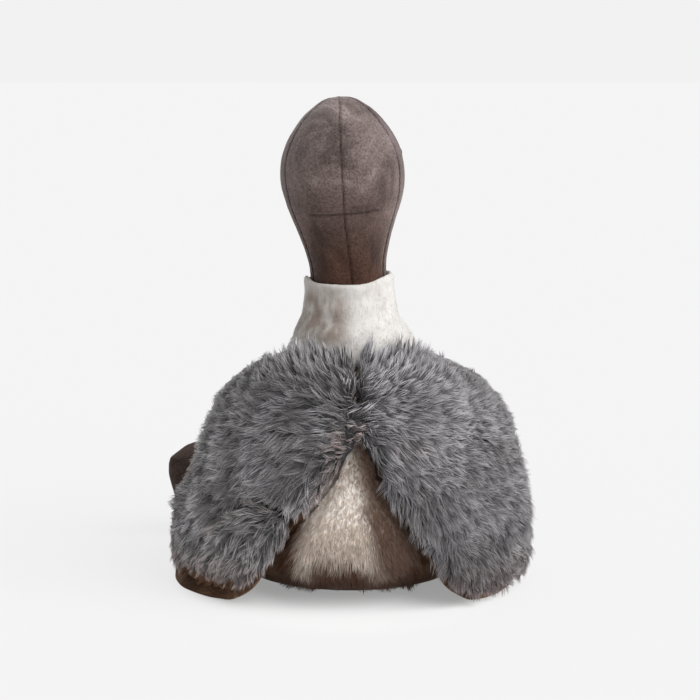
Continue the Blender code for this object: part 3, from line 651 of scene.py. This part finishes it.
def lightScene():
    world = bpy.data.worlds.new("studio")
    scene.world = world
    world.use_nodes = True
    nodes = world.node_tree.nodes
    nodes.clear()
    lit, seen = nodes.new("ShaderNodeBackground"), nodes.new("ShaderNodeBackground")
    setInputs(lit, {"Color": (1, 1, 1, 1), "Strength": light["fill"]})
    setInputs(seen, {"Color": (*light["background"], 1), "Strength": 1})
    mixer, out = nodes.new("ShaderNodeMixShader"), nodes.new("ShaderNodeOutputWorld")
    backgroundWhenSeen(nodes, lit.outputs[0], seen.outputs[0], mixer)
    join(mixer.outputs[0], out.inputs["Surface"])
    lamp = bpy.data.lights.new("key", "SUN")
    lamp.energy = light["key"]
    lamp.angle = math.radians(light["keySoftness"])
    key = link(bpy.data.objects.new("key", lamp))
    key.rotation_euler = Vector(light["keyPlace"]).to_track_quat("Z", "Y").to_euler()
    key.location = light["keyPlace"]


def layFloor():
    bm = bmesh.new()
    bmesh.ops.create_grid(bm, x_segments=2, y_segments=2, size=12)
    floor = newObject("floor", bm)
    material = bpy.data.materials.new("floorPaint")
    material.use_nodes = True
    shader = material.node_tree.nodes["Principled BSDF"]
    setInputs(shader, {"Base Color": (*light["floor"], 1), "Roughness": 1, "Specular IOR Level": 0})
    nodes = material.node_tree.nodes
    plain, mixer, path = (nodes.new("ShaderNode" + kind) for kind in ("Emission", "MixShader", "LightPath"))
    plain.inputs["Color"].default_value = (*light["background"], 1)
    place = nodes.new("ShaderNodeTexCoord").outputs["Object"]
    reach = (*light["shadowReach"], 1)
    for step, value in (("SUBTRACT", light["shadowMiddle"]), ("DIVIDE", reach), ("LENGTH", None)):
        moved = nodes.new("ShaderNodeVectorMath")
        moved.operation = step
        join(place, moved.inputs[0])
        if value:
            moved.inputs[1].default_value = value
        place = moved.outputs["Value" if step == "LENGTH" else "Vector"]
    fade = nodes.new("ShaderNodeMapRange")
    fade.interpolation_type = "SMOOTHSTEP"
    ends = (*light["shadowFade"], *light["floorWash"])
    setInputs(fade, dict(zip(("From Min", "From Max", "To Min", "To Max"), ends)))
    join(place, fade.inputs["Value"])
    share = nodes.new("ShaderNodeMath")
    share.operation = "MULTIPLY"
    join(fade.outputs["Result"], share.inputs[1])
    join(path.outputs["Is Camera Ray"], share.inputs[0])
    join(share.outputs[0], mixer.inputs["Fac"])
    join(shader.outputs[0], mixer.inputs[1])
    join(plain.outputs[0], mixer.inputs[2])
    join(mixer.outputs[0], nodes["Material Output"].inputs["Surface"])
    floor.data.materials.append(material)


placeCamera()
lightScene()
layFloor()
scene.view_settings.view_transform = "Standard"
print("camera, floor and lights ready")


# seams
def seamLine(obj, ends, steps):
    # a line on a cover, found by looking outwards from its axis; ends gives the axis point and the way out
    tree = BVHTree.FromObject(obj, bpy.context.evaluated_depsgraph_get())
    line = []
    for k in range(steps + 1):
        origin, way = ends(k / steps)
        hit = tree.ray_cast(origin, way, 0.3)[0]
        if hit:
            line.append(hit)
    return line


def closeSamples(line, gap=0.0004):
    points, lengths, gone = [], [], 0.0
    for a, b in zip(line, line[1:]):
        span = (b - a).length
        for k in range(max(1, int(span / gap))):
            share = k / max(1, int(span / gap))
            points.append(a.lerp(b, share))
            lengths.append(gone + span * share)
        gone += span
    return points, lengths


def seamDistances(obj, lines):
    points, lengths = [], []
    for line in lines:
        more, runs = closeSamples(line)
        points += more
        lengths += runs
    tree = KDTree(len(points))
    for i, p in enumerate(points):
        tree.insert(p, i)
    tree.balance()
    found = [tree.find(v.co) for v in obj.data.vertices]
    return np.array([f[2] for f in found]), np.array([lengths[f[1]] for f in found])


stitch = {
    "fineTuck": (0.5, 0.37),  # the finer tucks' size and length, next to the large ones
    "inSeam": 0.2,  # how much the tucks change the seam's depth
    "beside": (0.22, 2.4, 1.6),  # the tucks beside the seam: height in depths, distance and reach in widths
    "shade": 1.1,  # how wide the darker furrow is, in widths
}


def sewSeams(obj, lines):
    # presses the seams into a cover, with the small tucks a drawn thread makes on both sides
    far, run = seamDistances(obj, lines)
    depth, width, pucker = (headSeams[key] for key in ("depth", "width", "pucker"))
    share, length = stitch["fineTuck"]
    tuck = np.sin(run * 2 * math.pi / pucker) + share * np.sin(run * 2 * math.pi / (pucker * length) + 1)
    height, away, reach = stitch["beside"]
    press = -depth * hump(far, width) * (1 + stitch["inSeam"] * tuck)
    press += height * depth * tuck * hump(far - away * width, reach * width)
    pushAlong(obj, press)
    markPoints(obj, hump(far, width * stitch["shade"]), "seam")


headSeams = {
    "throat": (0.00036, 0.0, 0.24126),
    "tilt": 3.2,
    "height": 0.171,
    "side": 64,  # degrees round from the middle of the back
    "dartHeight": 0.0748,
    "dartReach": 36,
    "depth": 0.0014,
    "width": 0.0008,
    "pucker": 0.0065,
    "start": 0.012,  # the seams' lower ends, above the throat
    "turn": 6,  # degrees that the middle seam bends aside at its lower end
}
headForm = {
    "drawIn": 0.0008,
    "dents": ((0.0005, 38), (0.00012, 240)),  # depth, and how many per metre
    "crown": (0.384, 0.02),
    "crownWider": 0.05,
    "crownLean": 0.0012,
    "crownRing": (0.0008, 0.013, 0.008),  # push, distance from the top and reach
    "crownDip": (0.0006, 0.005),
    "eyeDent": (0.0011, 0.011),
}


def headFrame():
    turn = Matrix.Rotation(math.radians(headSeams["tilt"]), 4, "Y")
    return Matrix.Translation(headSeams["throat"]) @ turn


def headRay(angle, height):
    turn = math.radians(angle)
    way = headFrame().to_3x3() @ Vector((math.sin(turn), math.cos(turn), 0))
    return headFrame() @ Vector((0, 0, height)), way


def headLines(obj):
    top, side, reach = headSeams["height"], headSeams["side"], headSeams["dartReach"]
    dart, start, turn = headSeams["dartHeight"], headSeams["start"], headSeams["turn"]
    lines = [seamLine(obj, lambda t: headRay(-turn * max(0, 1 - 3 * t), start + (top - 0.0135) * t), 60)]
    for sign in (1, -1):
        rise = 0.0012 * (sign < 0)  # the right dart ends a little higher
        lines.append(seamLine(obj, lambda t: headRay(sign * side, start + (top - 0.016) * t), 60))
        lines.append(seamLine(obj, lambda t: headRay(sign * reach * t, dart + rise * t * t), 30))
    return lines


def makeHead():
    form = headForm
    cover = remesh(cadShape("headCover", "head", -form["drawIn"]), 0.0052, 4)
    far = seamDistances(cover, headLines(cover))[0]
    puffUp(cover, 4.0, 0.0025, far < 0.003)
    subdivide(cover, 2)
    sewSeams(cover, headLines(cover))
    points = coordsOf(cover)
    pushAlong(cover, sum(depth * noiseAt(points, scale) for depth, scale in form["dents"]))
    points = coordsOf(cover)  # the crown is round and leans a little to the right
    crown = above(points[:, 2], *form["crown"])
    points[:, 0] = points[:, 0] * (1 + form["crownWider"] * crown) - form["crownLean"] * crown
    setCoords(cover, points)
    fromTop = np.linalg.norm(points - points[points[:, 2].argmax()], axis=1)
    (push, away, reach), (dip, dipReach) = form["crownRing"], form["crownDip"]
    pushAlong(cover, push * hump(fromTop - away, reach) - dip * hump(fromTop, dipReach))
    for side in ("left", "right"):  # the eyes are drawn a little into the stuffing
        eye = coordsOf(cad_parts[f"eye_{side}"]).mean(axis=0)
        away = np.linalg.norm(coordsOf(cover) - eye, axis=1)
        pushAlong(cover, -form["eyeDent"][0] * hump(away, form["eyeDent"][1]))
    turn = headFrame().to_3x3()
    throat = turn.transposed() @ Vector(headSeams["throat"])
    turned = coordsOf(cover) @ np.array(turn) - np.array(throat)
    theta = np.degrees(np.arctan2(np.abs(turned[:, 0]), turned[:, 1]))
    markPoints(cover, above(theta, headSeams["side"], 1.5))
    return finishPiece(cover, ["head"], headVelvet)


makeHead()
print("head covered")


def softCover(name, node, grow, voxel, smooth):
    cover = remesh(cadShape(name, node, grow), voxel, smooth)
    puffUp(cover, 2.0, 0.001)
    return subdivide(cover, 1)


def planeSeam(obj, origin, across, depth, width):
    # a seam where a piece crosses its own middle plane
    away = (coordsOf(obj) - np.array(origin)) @ np.array(across)
    pushAlong(obj, -depth * hump(away, width))
    markPoints(obj, hump(away, width * stitch["shade"]), "seam")


def makeBill():
    cover = softCover("billCover", "bill", -0.0004, 0.003, 3)
    across = headFrame().to_3x3() @ Vector((1, 0, 0))
    planeSeam(cover, headFrame().translation, across, 0.001, 0.001)
    pushAlong(cover, 0.0004 * noiseAt(coordsOf(cover), 60, 3))
    return finishPiece(cover, ["bill"], limbVelvet)


makeBill()


limbForm = {
    "legReach": 0.0045,  # how far a leg's end reaches into its foot
    "legEnd": (0.014, 0.01),
    "toeSwell": 0.0024,  # the toes swell and end rather square
    "toeWider": 0.22,
    "toeLower": 0.0022,
}


def makeLimbs():
    form = limbForm
    for side in ("left", "right"):
        leg = softCover(f"{side}LegCover", f"leg_{side}", -0.0003, 0.004, 3)
        pushAlong(leg, 0.0006 * noiseAt(coordsOf(leg), 70, 5))
        points = coordsOf(leg)
        axis = np.linalg.svd(points - points.mean(axis=0), full_matrices=False)[2][0]
        axis = axis * -np.sign(axis[1])
        along = points @ axis
        end, over = form["legEnd"]
        stretch = smoothStep((along - along.max() + end) / over)
        setCoords(leg, points + axis * form["legReach"] * stretch[:, None])
        finishPiece(leg, [f"leg_{side}"], limbVelvet)
        foot = softCover(f"{side}FootCover", f"foot_{side}", 0.0014, 0.003, 12)
        points = coordsOf(foot)
        swell = form["toeSwell"] * above(points[:, 2], 0.045, 0.02)
        pushAlong(foot, 0.0004 * noiseAt(points, 80, 7) + swell)
        points = coordsOf(foot)
        middle = (points[:, 0].min() + points[:, 0].max()) / 2
        wider = above(points[:, 2], 0.062, 0.02)
        points[:, 0] += form["toeWider"] * (points[:, 0] - middle) * wider
        points[:, 2] -= form["toeLower"] * above(points[:, 2], 0.072, 0.012)
        setCoords(foot, points)
        finishPiece(foot, [f"foot_{side}"], limbVelvet)


makeLimbs()
print("bill, legs and feet covered")


def softSheet(name, node, levels):
    # thin velvet keeps its CAD form, softened
    bm = bmesh.new()
    bm.from_mesh(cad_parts[node].data)
    bmesh.ops.remove_doubles(bm, verts=bm.verts, dist=0.00002)
    bmesh.ops.join_triangles(
        bm, faces=bm.faces, angle_face_threshold=math.radians(50), angle_shape_threshold=math.radians(80)
    )
    return subdivide(newObject(name, bm), levels)


liningForm = {
    "tuck": 0.007,  # the upper edges are tucked under the fur
    "corner": 0.009,  # the left one's low outer corner spreads beyond the fur
}


def makeVelvetSheets():
    form = liningForm
    for side in ("left", "right"):
        lining = softSheet(f"{side}WingLining", f"wing_lining_{side}", 2)
        pushAlong(lining, 0.0007 * noiseAt(coordsOf(lining), 60, 11))
        tucked = coordsOf(lining)
        tucked[:, 2] -= form["tuck"] * above(tucked[:, 2], 0.165, 0.03)
        if side == "left":
            spread = below(tucked[:, 2], 0.085, 0.04) * above(tucked[:, 0], 0.105, 0.03)
            tucked[:, 0] += form["corner"] * spread
        setCoords(lining, tucked)
        finishPiece(lining, [f"wing_lining_{side}"], liningVelvet)
    # the seat panel's dark brown velvet stands for the shade under the body between the wings: painted
    # shade
    shadePanel = softSheet("seatShadePanel", "seat_panel", 1)
    finishPiece(shadePanel, ["seat_panel"], liningVelvet)


makeVelvetSheets()
print("linings and seat panel made")


# eyes
eyeShape = {"radius": 0.0062, "bulge": 0.0048, "rim": 0.0008, "shank": 0.0022}


def makeEye(side):
    node = f"eye_{side}"
    points = np.unique(np.round(coordsOf(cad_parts[node]), 7), axis=0)
    middle = points.mean(axis=0)
    axis = np.linalg.svd(points - middle)[2][0]
    headMiddle = np.array(headFrame() @ Vector((0, 0, 0.115)))
    axis = axis * np.sign((middle - headMiddle) @ axis)
    along = (points - middle) @ axis
    top, bottom = along.max(), along.min()
    radius, bulge, rim, shank = (eyeShape[key] for key in ("radius", "bulge", "rim", "shank"))
    base = top - bulge  # the flat side of the dome
    profile = [(0.0, bottom), (shank, bottom), (shank, base - rim)]
    profile += [(radius * 0.94, base - rim), (radius, base - rim * 0.4)]
    profile += [(radius * math.cos(a), base + bulge * math.sin(a)) for a in np.linspace(0, math.pi / 2, 14)]
    profile[-1] = (0.0, top)
    bm = bmesh.new()
    verts = [bm.verts.new((r, 0, z)) for r, z in profile]
    edges = [bm.edges.new(pair) for pair in zip(verts, verts[1:])]
    bmesh.ops.spin(
        bm, geom=verts + edges, axis=(0, 0, 1), cent=(0, 0, 0), angle=2 * math.pi, steps=40, use_merge=True
    )
    bmesh.ops.remove_doubles(bm, verts=bm.verts, dist=1e-6)
    bmesh.ops.recalc_face_normals(bm, faces=bm.faces)
    turn = Vector(axis).to_track_quat("Z", "Y").to_matrix().to_4x4()
    bmesh.ops.transform(bm, matrix=Matrix.Translation(Vector(middle)) @ turn, verts=bm.verts)
    return finishPiece(newObject(f"{side}Eye", bm), [node], eyePlastic)


for side in ("left", "right"):
    makeEye(side)
    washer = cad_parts[f"eye_washer_{side}"]
    washer.data.materials.clear()
    washer.data.materials.append(washerPlastic)
print("eyes made")


# the skins under the fur
def furSkin(name, node, material, drawIn, voxel=0.004, cap=0.003, sewn=0, smooth=4):
    skin = remesh(cadShape(name, node), voxel, smooth)
    radial = coordsOf(skin) * (1, 1, 0)
    outer = np.clip((normalsOf(skin) * unit(radial)).sum(axis=1) * 1.5, 0, 1)
    pushAlong(skin, -drawIn * outer)
    # the points within that many degrees of the middle of the back are sewn down and stay
    held = np.degrees(np.arctan2(np.abs(radial[:, 0]), radial[:, 1])) < sewn
    puffUp(skin, 3.0, cap, held)
    return finishPiece(skin, [node], material)


wingSkins = {
    side: furSkin(f"{side}WingCover", f"wing_{side}", greyBacking, 0.0045, cap=0.002, sewn=32, smooth=6)
    for side in ("left", "right")
}
bodySkin = furSkin("bodyCover", "body", creamBacking, 0.003, voxel=0.005, cap=0.001)
tailSkin = furSkin("tailCover", "tail", creamBacking, 0.003, cap=0.001)
neckSkin = furSkin("neckCover", "neck", neckPlush, 0.0012, voxel=0.003, cap=0.001)
print("fur covers made")


def roundBody(spots):
    # how far round from the middle of the back each point is, and the way out from there
    across, back = np.abs(spots[:, 0]), spots[:, 1]
    theta = np.degrees(np.arctan2(across, back))
    reach = np.maximum(np.hypot(across, back), 1e-6)
    out = np.stack([np.sign(spots[:, 0]) * back / reach, -across / reach, np.zeros(len(spots))], axis=1)
    return theta, out


def combed(angles, out):
    # a way that starts straight down and turns outwards by that many degrees
    turn = np.radians(angles)[:, None]
    return np.array([0, 0, -1.0]) * np.cos(turn) + out * np.sin(turn)


def facingOut(spots, facing, least):
    radial = unit(spots * (1, 1, 0))
    return (facing * radial).sum(axis=1) > least


wingFur = {
    "shape": "bent",
    "tufts": 35000,
    "length": 0.025,
    "width": 0.0005,
    "lift": 0.45,
    "lie": 0.13,
    "droop": 0.17,
    "stray": 0.17,
    "clump": 0.72,
    "tuftsPerLock": 7,
    "wave": 0.0026,
    "sink": 0.0008,
    "swirl": 36,
    "crest": 1.0,  # how much the fur stands up along the shoulders
    "hem": {"left": 0.026, "right": 0.013},  # below this the lining shows
    "margin": {"left": 95, "right": 98},  # degrees round from the back, beyond which the lining shows
}
ruffled = {"clump": 0.78, "tuftsPerLock": 8, "swirl": 42, "wave": 0.0034}  # the left wing's fur
underFur = dict(wingFur, shape="straight", tufts=37000, length=0.014, width=0.0006, lift=0.72, clump=0.3)


wingEdge = {
    "innerAt": ([0.009, 0.058, 0.1, 0.138, 0.201], [37, 27, 14, 2, 1]),  # heights, and degrees there
    "hemRise": 0.5,  # the hem comes down towards the outer edge
    "hemRagged": (0.004, 0.003, 0.006),  # how far it runs on, wanders and fades
    "outerRagged": (2, 3, 4),
    "ragged": 90,  # waves per metre
}


def wingMargin(spots, side):
    # 1 in the bare margin of a wing, at its hem and low on its outer edge, and 0 over the rest
    theta, height = roundBody(spots)[0], spots[:, 2]
    edge, ragged = wingEdge, wingEdge["ragged"]
    bottom = wingFur["hem"][side] * (1 - edge["hemRise"] * above(theta, 62, 30))
    on, wander, fade = edge["hemRagged"]
    hem = smoothStep((bottom + on - height + wander * noiseAt(spots, ragged)) / fade)
    on, wander, fade = edge["outerRagged"]
    outer = smoothStep((theta - wingFur["margin"][side] + on + wander * noiseAt(spots, ragged, 5)) / fade)
    return np.maximum(hem, outer * below(height, 0.088, 0.03))


def innerEdge(height):
    # degrees from the middle of the back to a wing's inner edge, at each height
    return np.interp(height, *wingEdge["innerAt"])


wingFold = {
    "across": (0.046, 0.058, 0.073, 0.09, 0.104),
    "up": (0.081, 0.088, 0.091, 0.082, 0.07),
    "from": (0.04, 0.006),
    "to": (0.112, 0.03),
    "depth": 0.01,
    "reach": 0.0052,
}
wingComb = {  # degrees outwards from straight down
    "back": 44,
    "side": 32,
    "crease": 34,  # beside the crease the strands lie level
    "lowShares": (0.32, 0.68),
    "shoulder": (58, 0.3),  # they turn up over the shoulders, less so away from the back
    "top": 66,  # and most at the top of the crease
    "calm": 0.6,  # how much less the top of the right wing swirls
    "inner": {"left": 2, "right": -14},  # along the inner edge
    "innerLow": 16,
    "innerAngle": (14, 12),
}
wingLength = {  # how much the fur's length changes in each zone
    "shoulder": 0.35,
    "inner": 0.36,
    "crease": 0.3,
    "hem": 0.38,
    "edge": 0.5,
    "uneven": 0.32,
}
wingBounceAndShade = {"low": 0.8, "outer": 0.8, "inner": 0.7, "patches": 0.25}  # how brown each zone is: painted warm floor bounce and shade low down and at the outer and inner edges; the patches are random


def foldShade(spots, side):
    # the left wing folds once beside its inner edge; 1 in the fold, 0 away from it
    if side == "right":
        return np.zeros(len(spots))
    away = spots[:, 2] - np.interp(spots[:, 0], wingFold["across"], wingFold["up"])
    inside = above(spots[:, 0], *wingFold["from"]) * below(spots[:, 0], *wingFold["to"])
    return inside * hump(away, wingFold["reach"]) * (spots[:, 1] > 0)


def makeWingFur(name, settings, skin, seed, side):
    def keep(spots, facing):
        theta, out = roundBody(spots)
        bare = wingMargin(spots, side) + 0.4 * noiseAt(spots, 300, 6) > 0.5
        folded = foldShade(spots, side) > 0.45
        inGap = ((facing * out).sum(axis=1) < -0.6) & (theta < 60)
        inGap &= (spots[:, 2] > 0.085) & (spots[:, 2] < 0.142)
        return facingOut(spots, facing, -0.15) & ~bare & ~folded & ~inGap

    def flow(spots):
        comb = wingComb
        theta, out = roundBody(spots)
        height = spots[:, 2]
        crease = comb["crease"] * below(theta, 26, 20)
        angle = comb["back"] + comb["side"] * above(theta, 8, 72)
        angle = angle + crease * above(height, 0.095, 0.03)
        least, rest = comb["lowShares"]
        angle = angle * (least + rest * above(height, 0.01, 0.11))
        rising = above(height, 0.11, 0.075) * below(theta, 84, 30)
        most, less = comb["shoulder"]
        angle = angle + (most - less * theta - crease) * rising
        angle = angle + comb["top"] * below(theta, 12, 9) * above(height, 0.172, 0.016)
        swirl = noiseAt(spots, 22, seed) + 0.7 * noiseAt(spots, 55, seed + 9)
        if side == "right":
            swirl = swirl * (1 - comb["calm"] * above(height, 0.145, 0.03))
        reach, fade = comb["innerAngle"]
        inner = smoothStep((reach - theta + innerEdge(height)) / fade) * below(height, 0.135, 0.02)
        leaning = comb["inner"][side] - comb["innerLow"] * below(height, 0.09, 0.03)
        angle = angle * (1 - inner) + leaning * inner
        return combed(angle + settings["swirl"] * swirl, out)

    def lengthAt(spots):
        share = wingLength
        theta, height = roundBody(spots)[0], spots[:, 2]
        length = 1.04 - 0.04 * below(height, 0.196, 0.05)
        length *= 1 - share["shoulder"] * above(theta, 42, 20) * above(height, 0.16, 0.02)
        between = below(height, 0.165, 0.02) * above(height, 0.07, 0.03)
        length *= 1 - share["inner"] * (1 - above(theta, innerEdge(height), 9)) * between
        hem = 0.62 + share["hem"] * above(height, wingFur["hem"][side], 0.03)
        nearEdge = smoothStep((theta - wingFur["margin"][side] + 24) / 20)
        edge = 1 - share["edge"] * nearEdge * below(height, 0.17, 0.04)
        length *= 1 + share["crease"] * below(theta, 15, 8) * above(height, 0.172, 0.014)
        return length * hem * edge * (0.9 + share["uneven"] * noiseAt(spots, 48, 3))

    # painted warm floor bounce and shade low down, at the edges and in the fold, with random brown patches
    # over it
    def tintShareAt(spots):
        brownness = wingBounceAndShade
        theta, height = roundBody(spots)[0], spots[:, 2]
        low = brownness["low"] * below(height, 0.062, 0.04)
        outer = brownness["outer"] * above(theta, 64, 24) * below(height, 0.15, 0.06)
        inner = brownness["inner"] * below(theta, innerEdge(height) + 5, 6) * below(height, 0.16, 0.02)
        browned = np.maximum(np.maximum(low, outer), np.maximum(inner, foldShade(spots, side)))
        return browned + brownness["patches"] * noiseAt(spots, 40, 8)

    return combFur(name, skin, seed, settings, keep, flow, lengthAt, tintShareAt)


for seed, (side, skin) in enumerate(wingSkins.items(), 21):
    dents = noiseAt(coordsOf(skin), 40, seed)
    pushAlong(skin, 0.0022 * dents - wingFold["depth"] * foldShade(coordsOf(skin), side))
    markPoints(skin, wingMargin(coordsOf(skin), side))
    guardFur = dict(wingFur, **ruffled) if side == "left" else wingFur
    for coat, settings, finish in (("Guard", guardFur, greyFur[side]), ("Under", underFur, greyUnderFur)):
        fur = makeWingFur(f"{side}Wing{coat}Fur", settings, skin, seed, side)
        finishPiece(fur, [], finish)
        print(fur.name, triangles(fur))

bodyFur = dict(wingFur, shape="straight", tufts=64000, length=0.0085, width=0.0005, lift=0.32, lie=0.1)
bodyFur.update(stray=0.2, clump=0.35, wave=0.0005, tuftsPerLock=6, swirl=18, crest=0)
tailFur = dict(bodyFur, shape="bent", tufts=15000, length=0.014, width=0.00034, lift=0.22)
tailFur.update(clump=0.5, tuftsPerLock=8)
neckFur = dict(bodyFur, tufts=11000, length=0.0044, width=0.0002, lift=0.28, lie=0.1, clump=0.2)
bibFur = dict(bodyFur, tufts=30000, length=0.008)


def openTo(skins, reach):
    # tells which points of a skin have nothing of the other skins close above them
    trees = [BVHTree.FromObject(skin, bpy.context.evaluated_depsgraph_get()) for skin in skins]

    def keep(spots, facing):
        rays = [(Vector(p + n * 0.001), Vector(n), reach) for p, n in zip(spots, facing)]
        return np.array([not any(tree.ray_cast(*ray)[0] for tree in trees) for ray in rays])

    return keep


def downFlow(settings, seed, fan):
    def flow(spots):
        out = roundBody(spots)[1]
        swirl = noiseAt(spots, 30, seed) + 0.5 * noiseAt(spots, 75, seed + 4)
        return combed(settings["swirl"] * swirl + fan * np.abs(spots[:, 0]) / 0.04, out)

    return flow


def rumpPaintedShade(spots):
    # painted shade and warm floor bounce: the cream turns brown low down and beside the wings, more at the
    # right, where the right wing shades it, than at the left
    theta, height = roundBody(spots)[0], spots[:, 2]
    rough = noiseAt(spots, 50, 6)
    behind = below(theta, 80, 30)
    low = smoothStep((0.06 - height + 0.024 * rough) / 0.034)
    right = smoothStep((-spots[:, 0] + 0.002 - 0.24 * (0.1 - height) + 0.004 * rough) / 0.018)
    left = smoothStep((spots[:, 0] - 0.028 - 0.2 * (0.06 - height) + 0.004 * rough) / 0.02)
    tintShare = np.maximum(np.maximum(low, 0.9 * right), left)
    return behind * tintShare + 0.12 * (1 - behind) * below(height, 0.03, 0.02)


def neckPaintedShade(spots):
    # painted shade under the head at the left of the nape, broken into brownish patches of tufts
    theta = np.degrees(np.arctan2(spots[:, 0], spots[:, 1]))
    left = smoothStep((theta + 8) / 26) * below(theta, 100, 30)
    band = below(spots[:, 2], 0.26, 0.018) * above(spots[:, 2], 0.202, 0.014)
    patch = smoothStep(0.78 + 0.8 * noiseAt(spots, 42, 2) + 0.7 * noiseAt(spots * (1, 1, 0.4), 240, 5))
    return left * (0.2 + 0.66 * band * patch)


collarForm = {
    "raised": 0.0036,
    "right": 0.0055,  # it stands higher at the right of the head
    "peak": 0.0035,  # and has a small peak at its left
    "peakAngle": (78, 16),
    "spread": 0.17,  # the neck widens into the wings
    "sunk": 0.06,  # the throat runs into the breast
}


def raiseCollar():
    form = collarForm
    points = coordsOf(neckSkin)
    theta = np.degrees(np.arctan2(points[:, 0], points[:, 1]))
    top = above(points[:, 2], 0.226, 0.022)
    right = smoothStep((-theta - 10) / 55) * smoothStep((160 + theta) / 50)
    middle, reach = form["peakAngle"]
    peak = hump(theta - middle, reach)
    points[:, 2] += top * (form["raised"] + form["right"] * right + form["peak"] * peak)
    spread = form["spread"] * below(np.abs(theta), 125, 40)
    points[:, :2] *= 1 + (spread * below(points[:, 2], 0.236, 0.04))[:, None]
    sunk = above(np.abs(theta), 105, 30) * below(points[:, 2], 0.222, 0.02)
    points[:, :2] *= 1 - form["sunk"] * sunk[:, None]
    setCoords(neckSkin, points)


def raiseTail():
    # the lobe runs up into the crease between the wings
    points = coordsOf(tailSkin)
    points[:, 2] += 0.013 * above(points[:, 2], 0.095, 0.03)
    setCoords(tailSkin, points)


def makeCreamFur():
    raiseCollar()
    raiseTail()
    markPoints(neckSkin, neckPaintedShade(coordsOf(neckSkin)))
    clear = openTo([*wingSkins.values(), tailSkin], 0.06)
    markPoints(bodySkin, rumpPaintedShade(coordsOf(bodySkin)))
    markPoints(tailSkin, rumpPaintedShade(coordsOf(tailSkin)))

    def bodyKeep(spots, facing):
        return clear(spots, facing) & (facing[:, 2] > -0.55) & (spots[:, 2] > 0.011) & (spots[:, 2] < 0.202)

    def tailKeep(spots, facing):
        return (facing[:, 1] > -0.2) & (spots[:, 2] > 0.015)

    def neckKeep(spots, facing):
        return facingOut(spots, facing, 0.1)

    def bibKeep(spots, facing):
        # the throat has the body's fur, and thins out towards the collar and the nape
        theta = roundBody(spots)[0]
        top = 0.224 + 0.022 * above(theta, 98, 36)
        share = above(theta, 76, 30) * below(spots[:, 2], top, 0.026)
        return neckKeep(spots, facing) & (share > 0.5 + 0.6 * noiseAt(spots, 400, 4))

    def bodyLength(spots):
        return 0.75 + 0.25 * below(spots[:, 2], 0.19, 0.06)

    def tailLength(spots):
        # short plush at the top, long tufts low down
        return (0.34 + 0.76 * below(spots[:, 2], 0.085, 0.035)) * (1 + 0.3 * noiseAt(spots, 40))

    def neckLength(spots):
        return 0.6 + 0.4 * below(spots[:, 2], 0.254, 0.03)

    def bibLength(spots):
        return 0.8 + 0.6 * below(spots[:, 2], 0.224, 0.02)

    for piece, skin, slotName, seed, fan, fur, keep, lengthAt, tintShareAt, finish in (
        ("body", bodySkin, "body", 31, 0, bodyFur, bodyKeep, bodyLength, rumpPaintedShade, creamFur),
        ("tail", tailSkin, "tail", 32, 30, tailFur, tailKeep, tailLength, rumpPaintedShade, rumpPile),
        ("neck", neckSkin, "neck", 33, 0, neckFur, neckKeep, neckLength, neckPaintedShade, neckPile),
        ("bib", neckSkin, "neck", 34, 0, bibFur, bibKeep, bibLength, rumpPaintedShade, creamFur),
    ):
        coat = combFur(f"{piece}Fur", skin, seed, fur, keep, downFlow(fur, seed, fan), lengthAt, tintShareAt)
        finishPiece(coat, [], finish)
        print(coat.name, triangles(coat))


makeCreamFur()
print("fur combed")
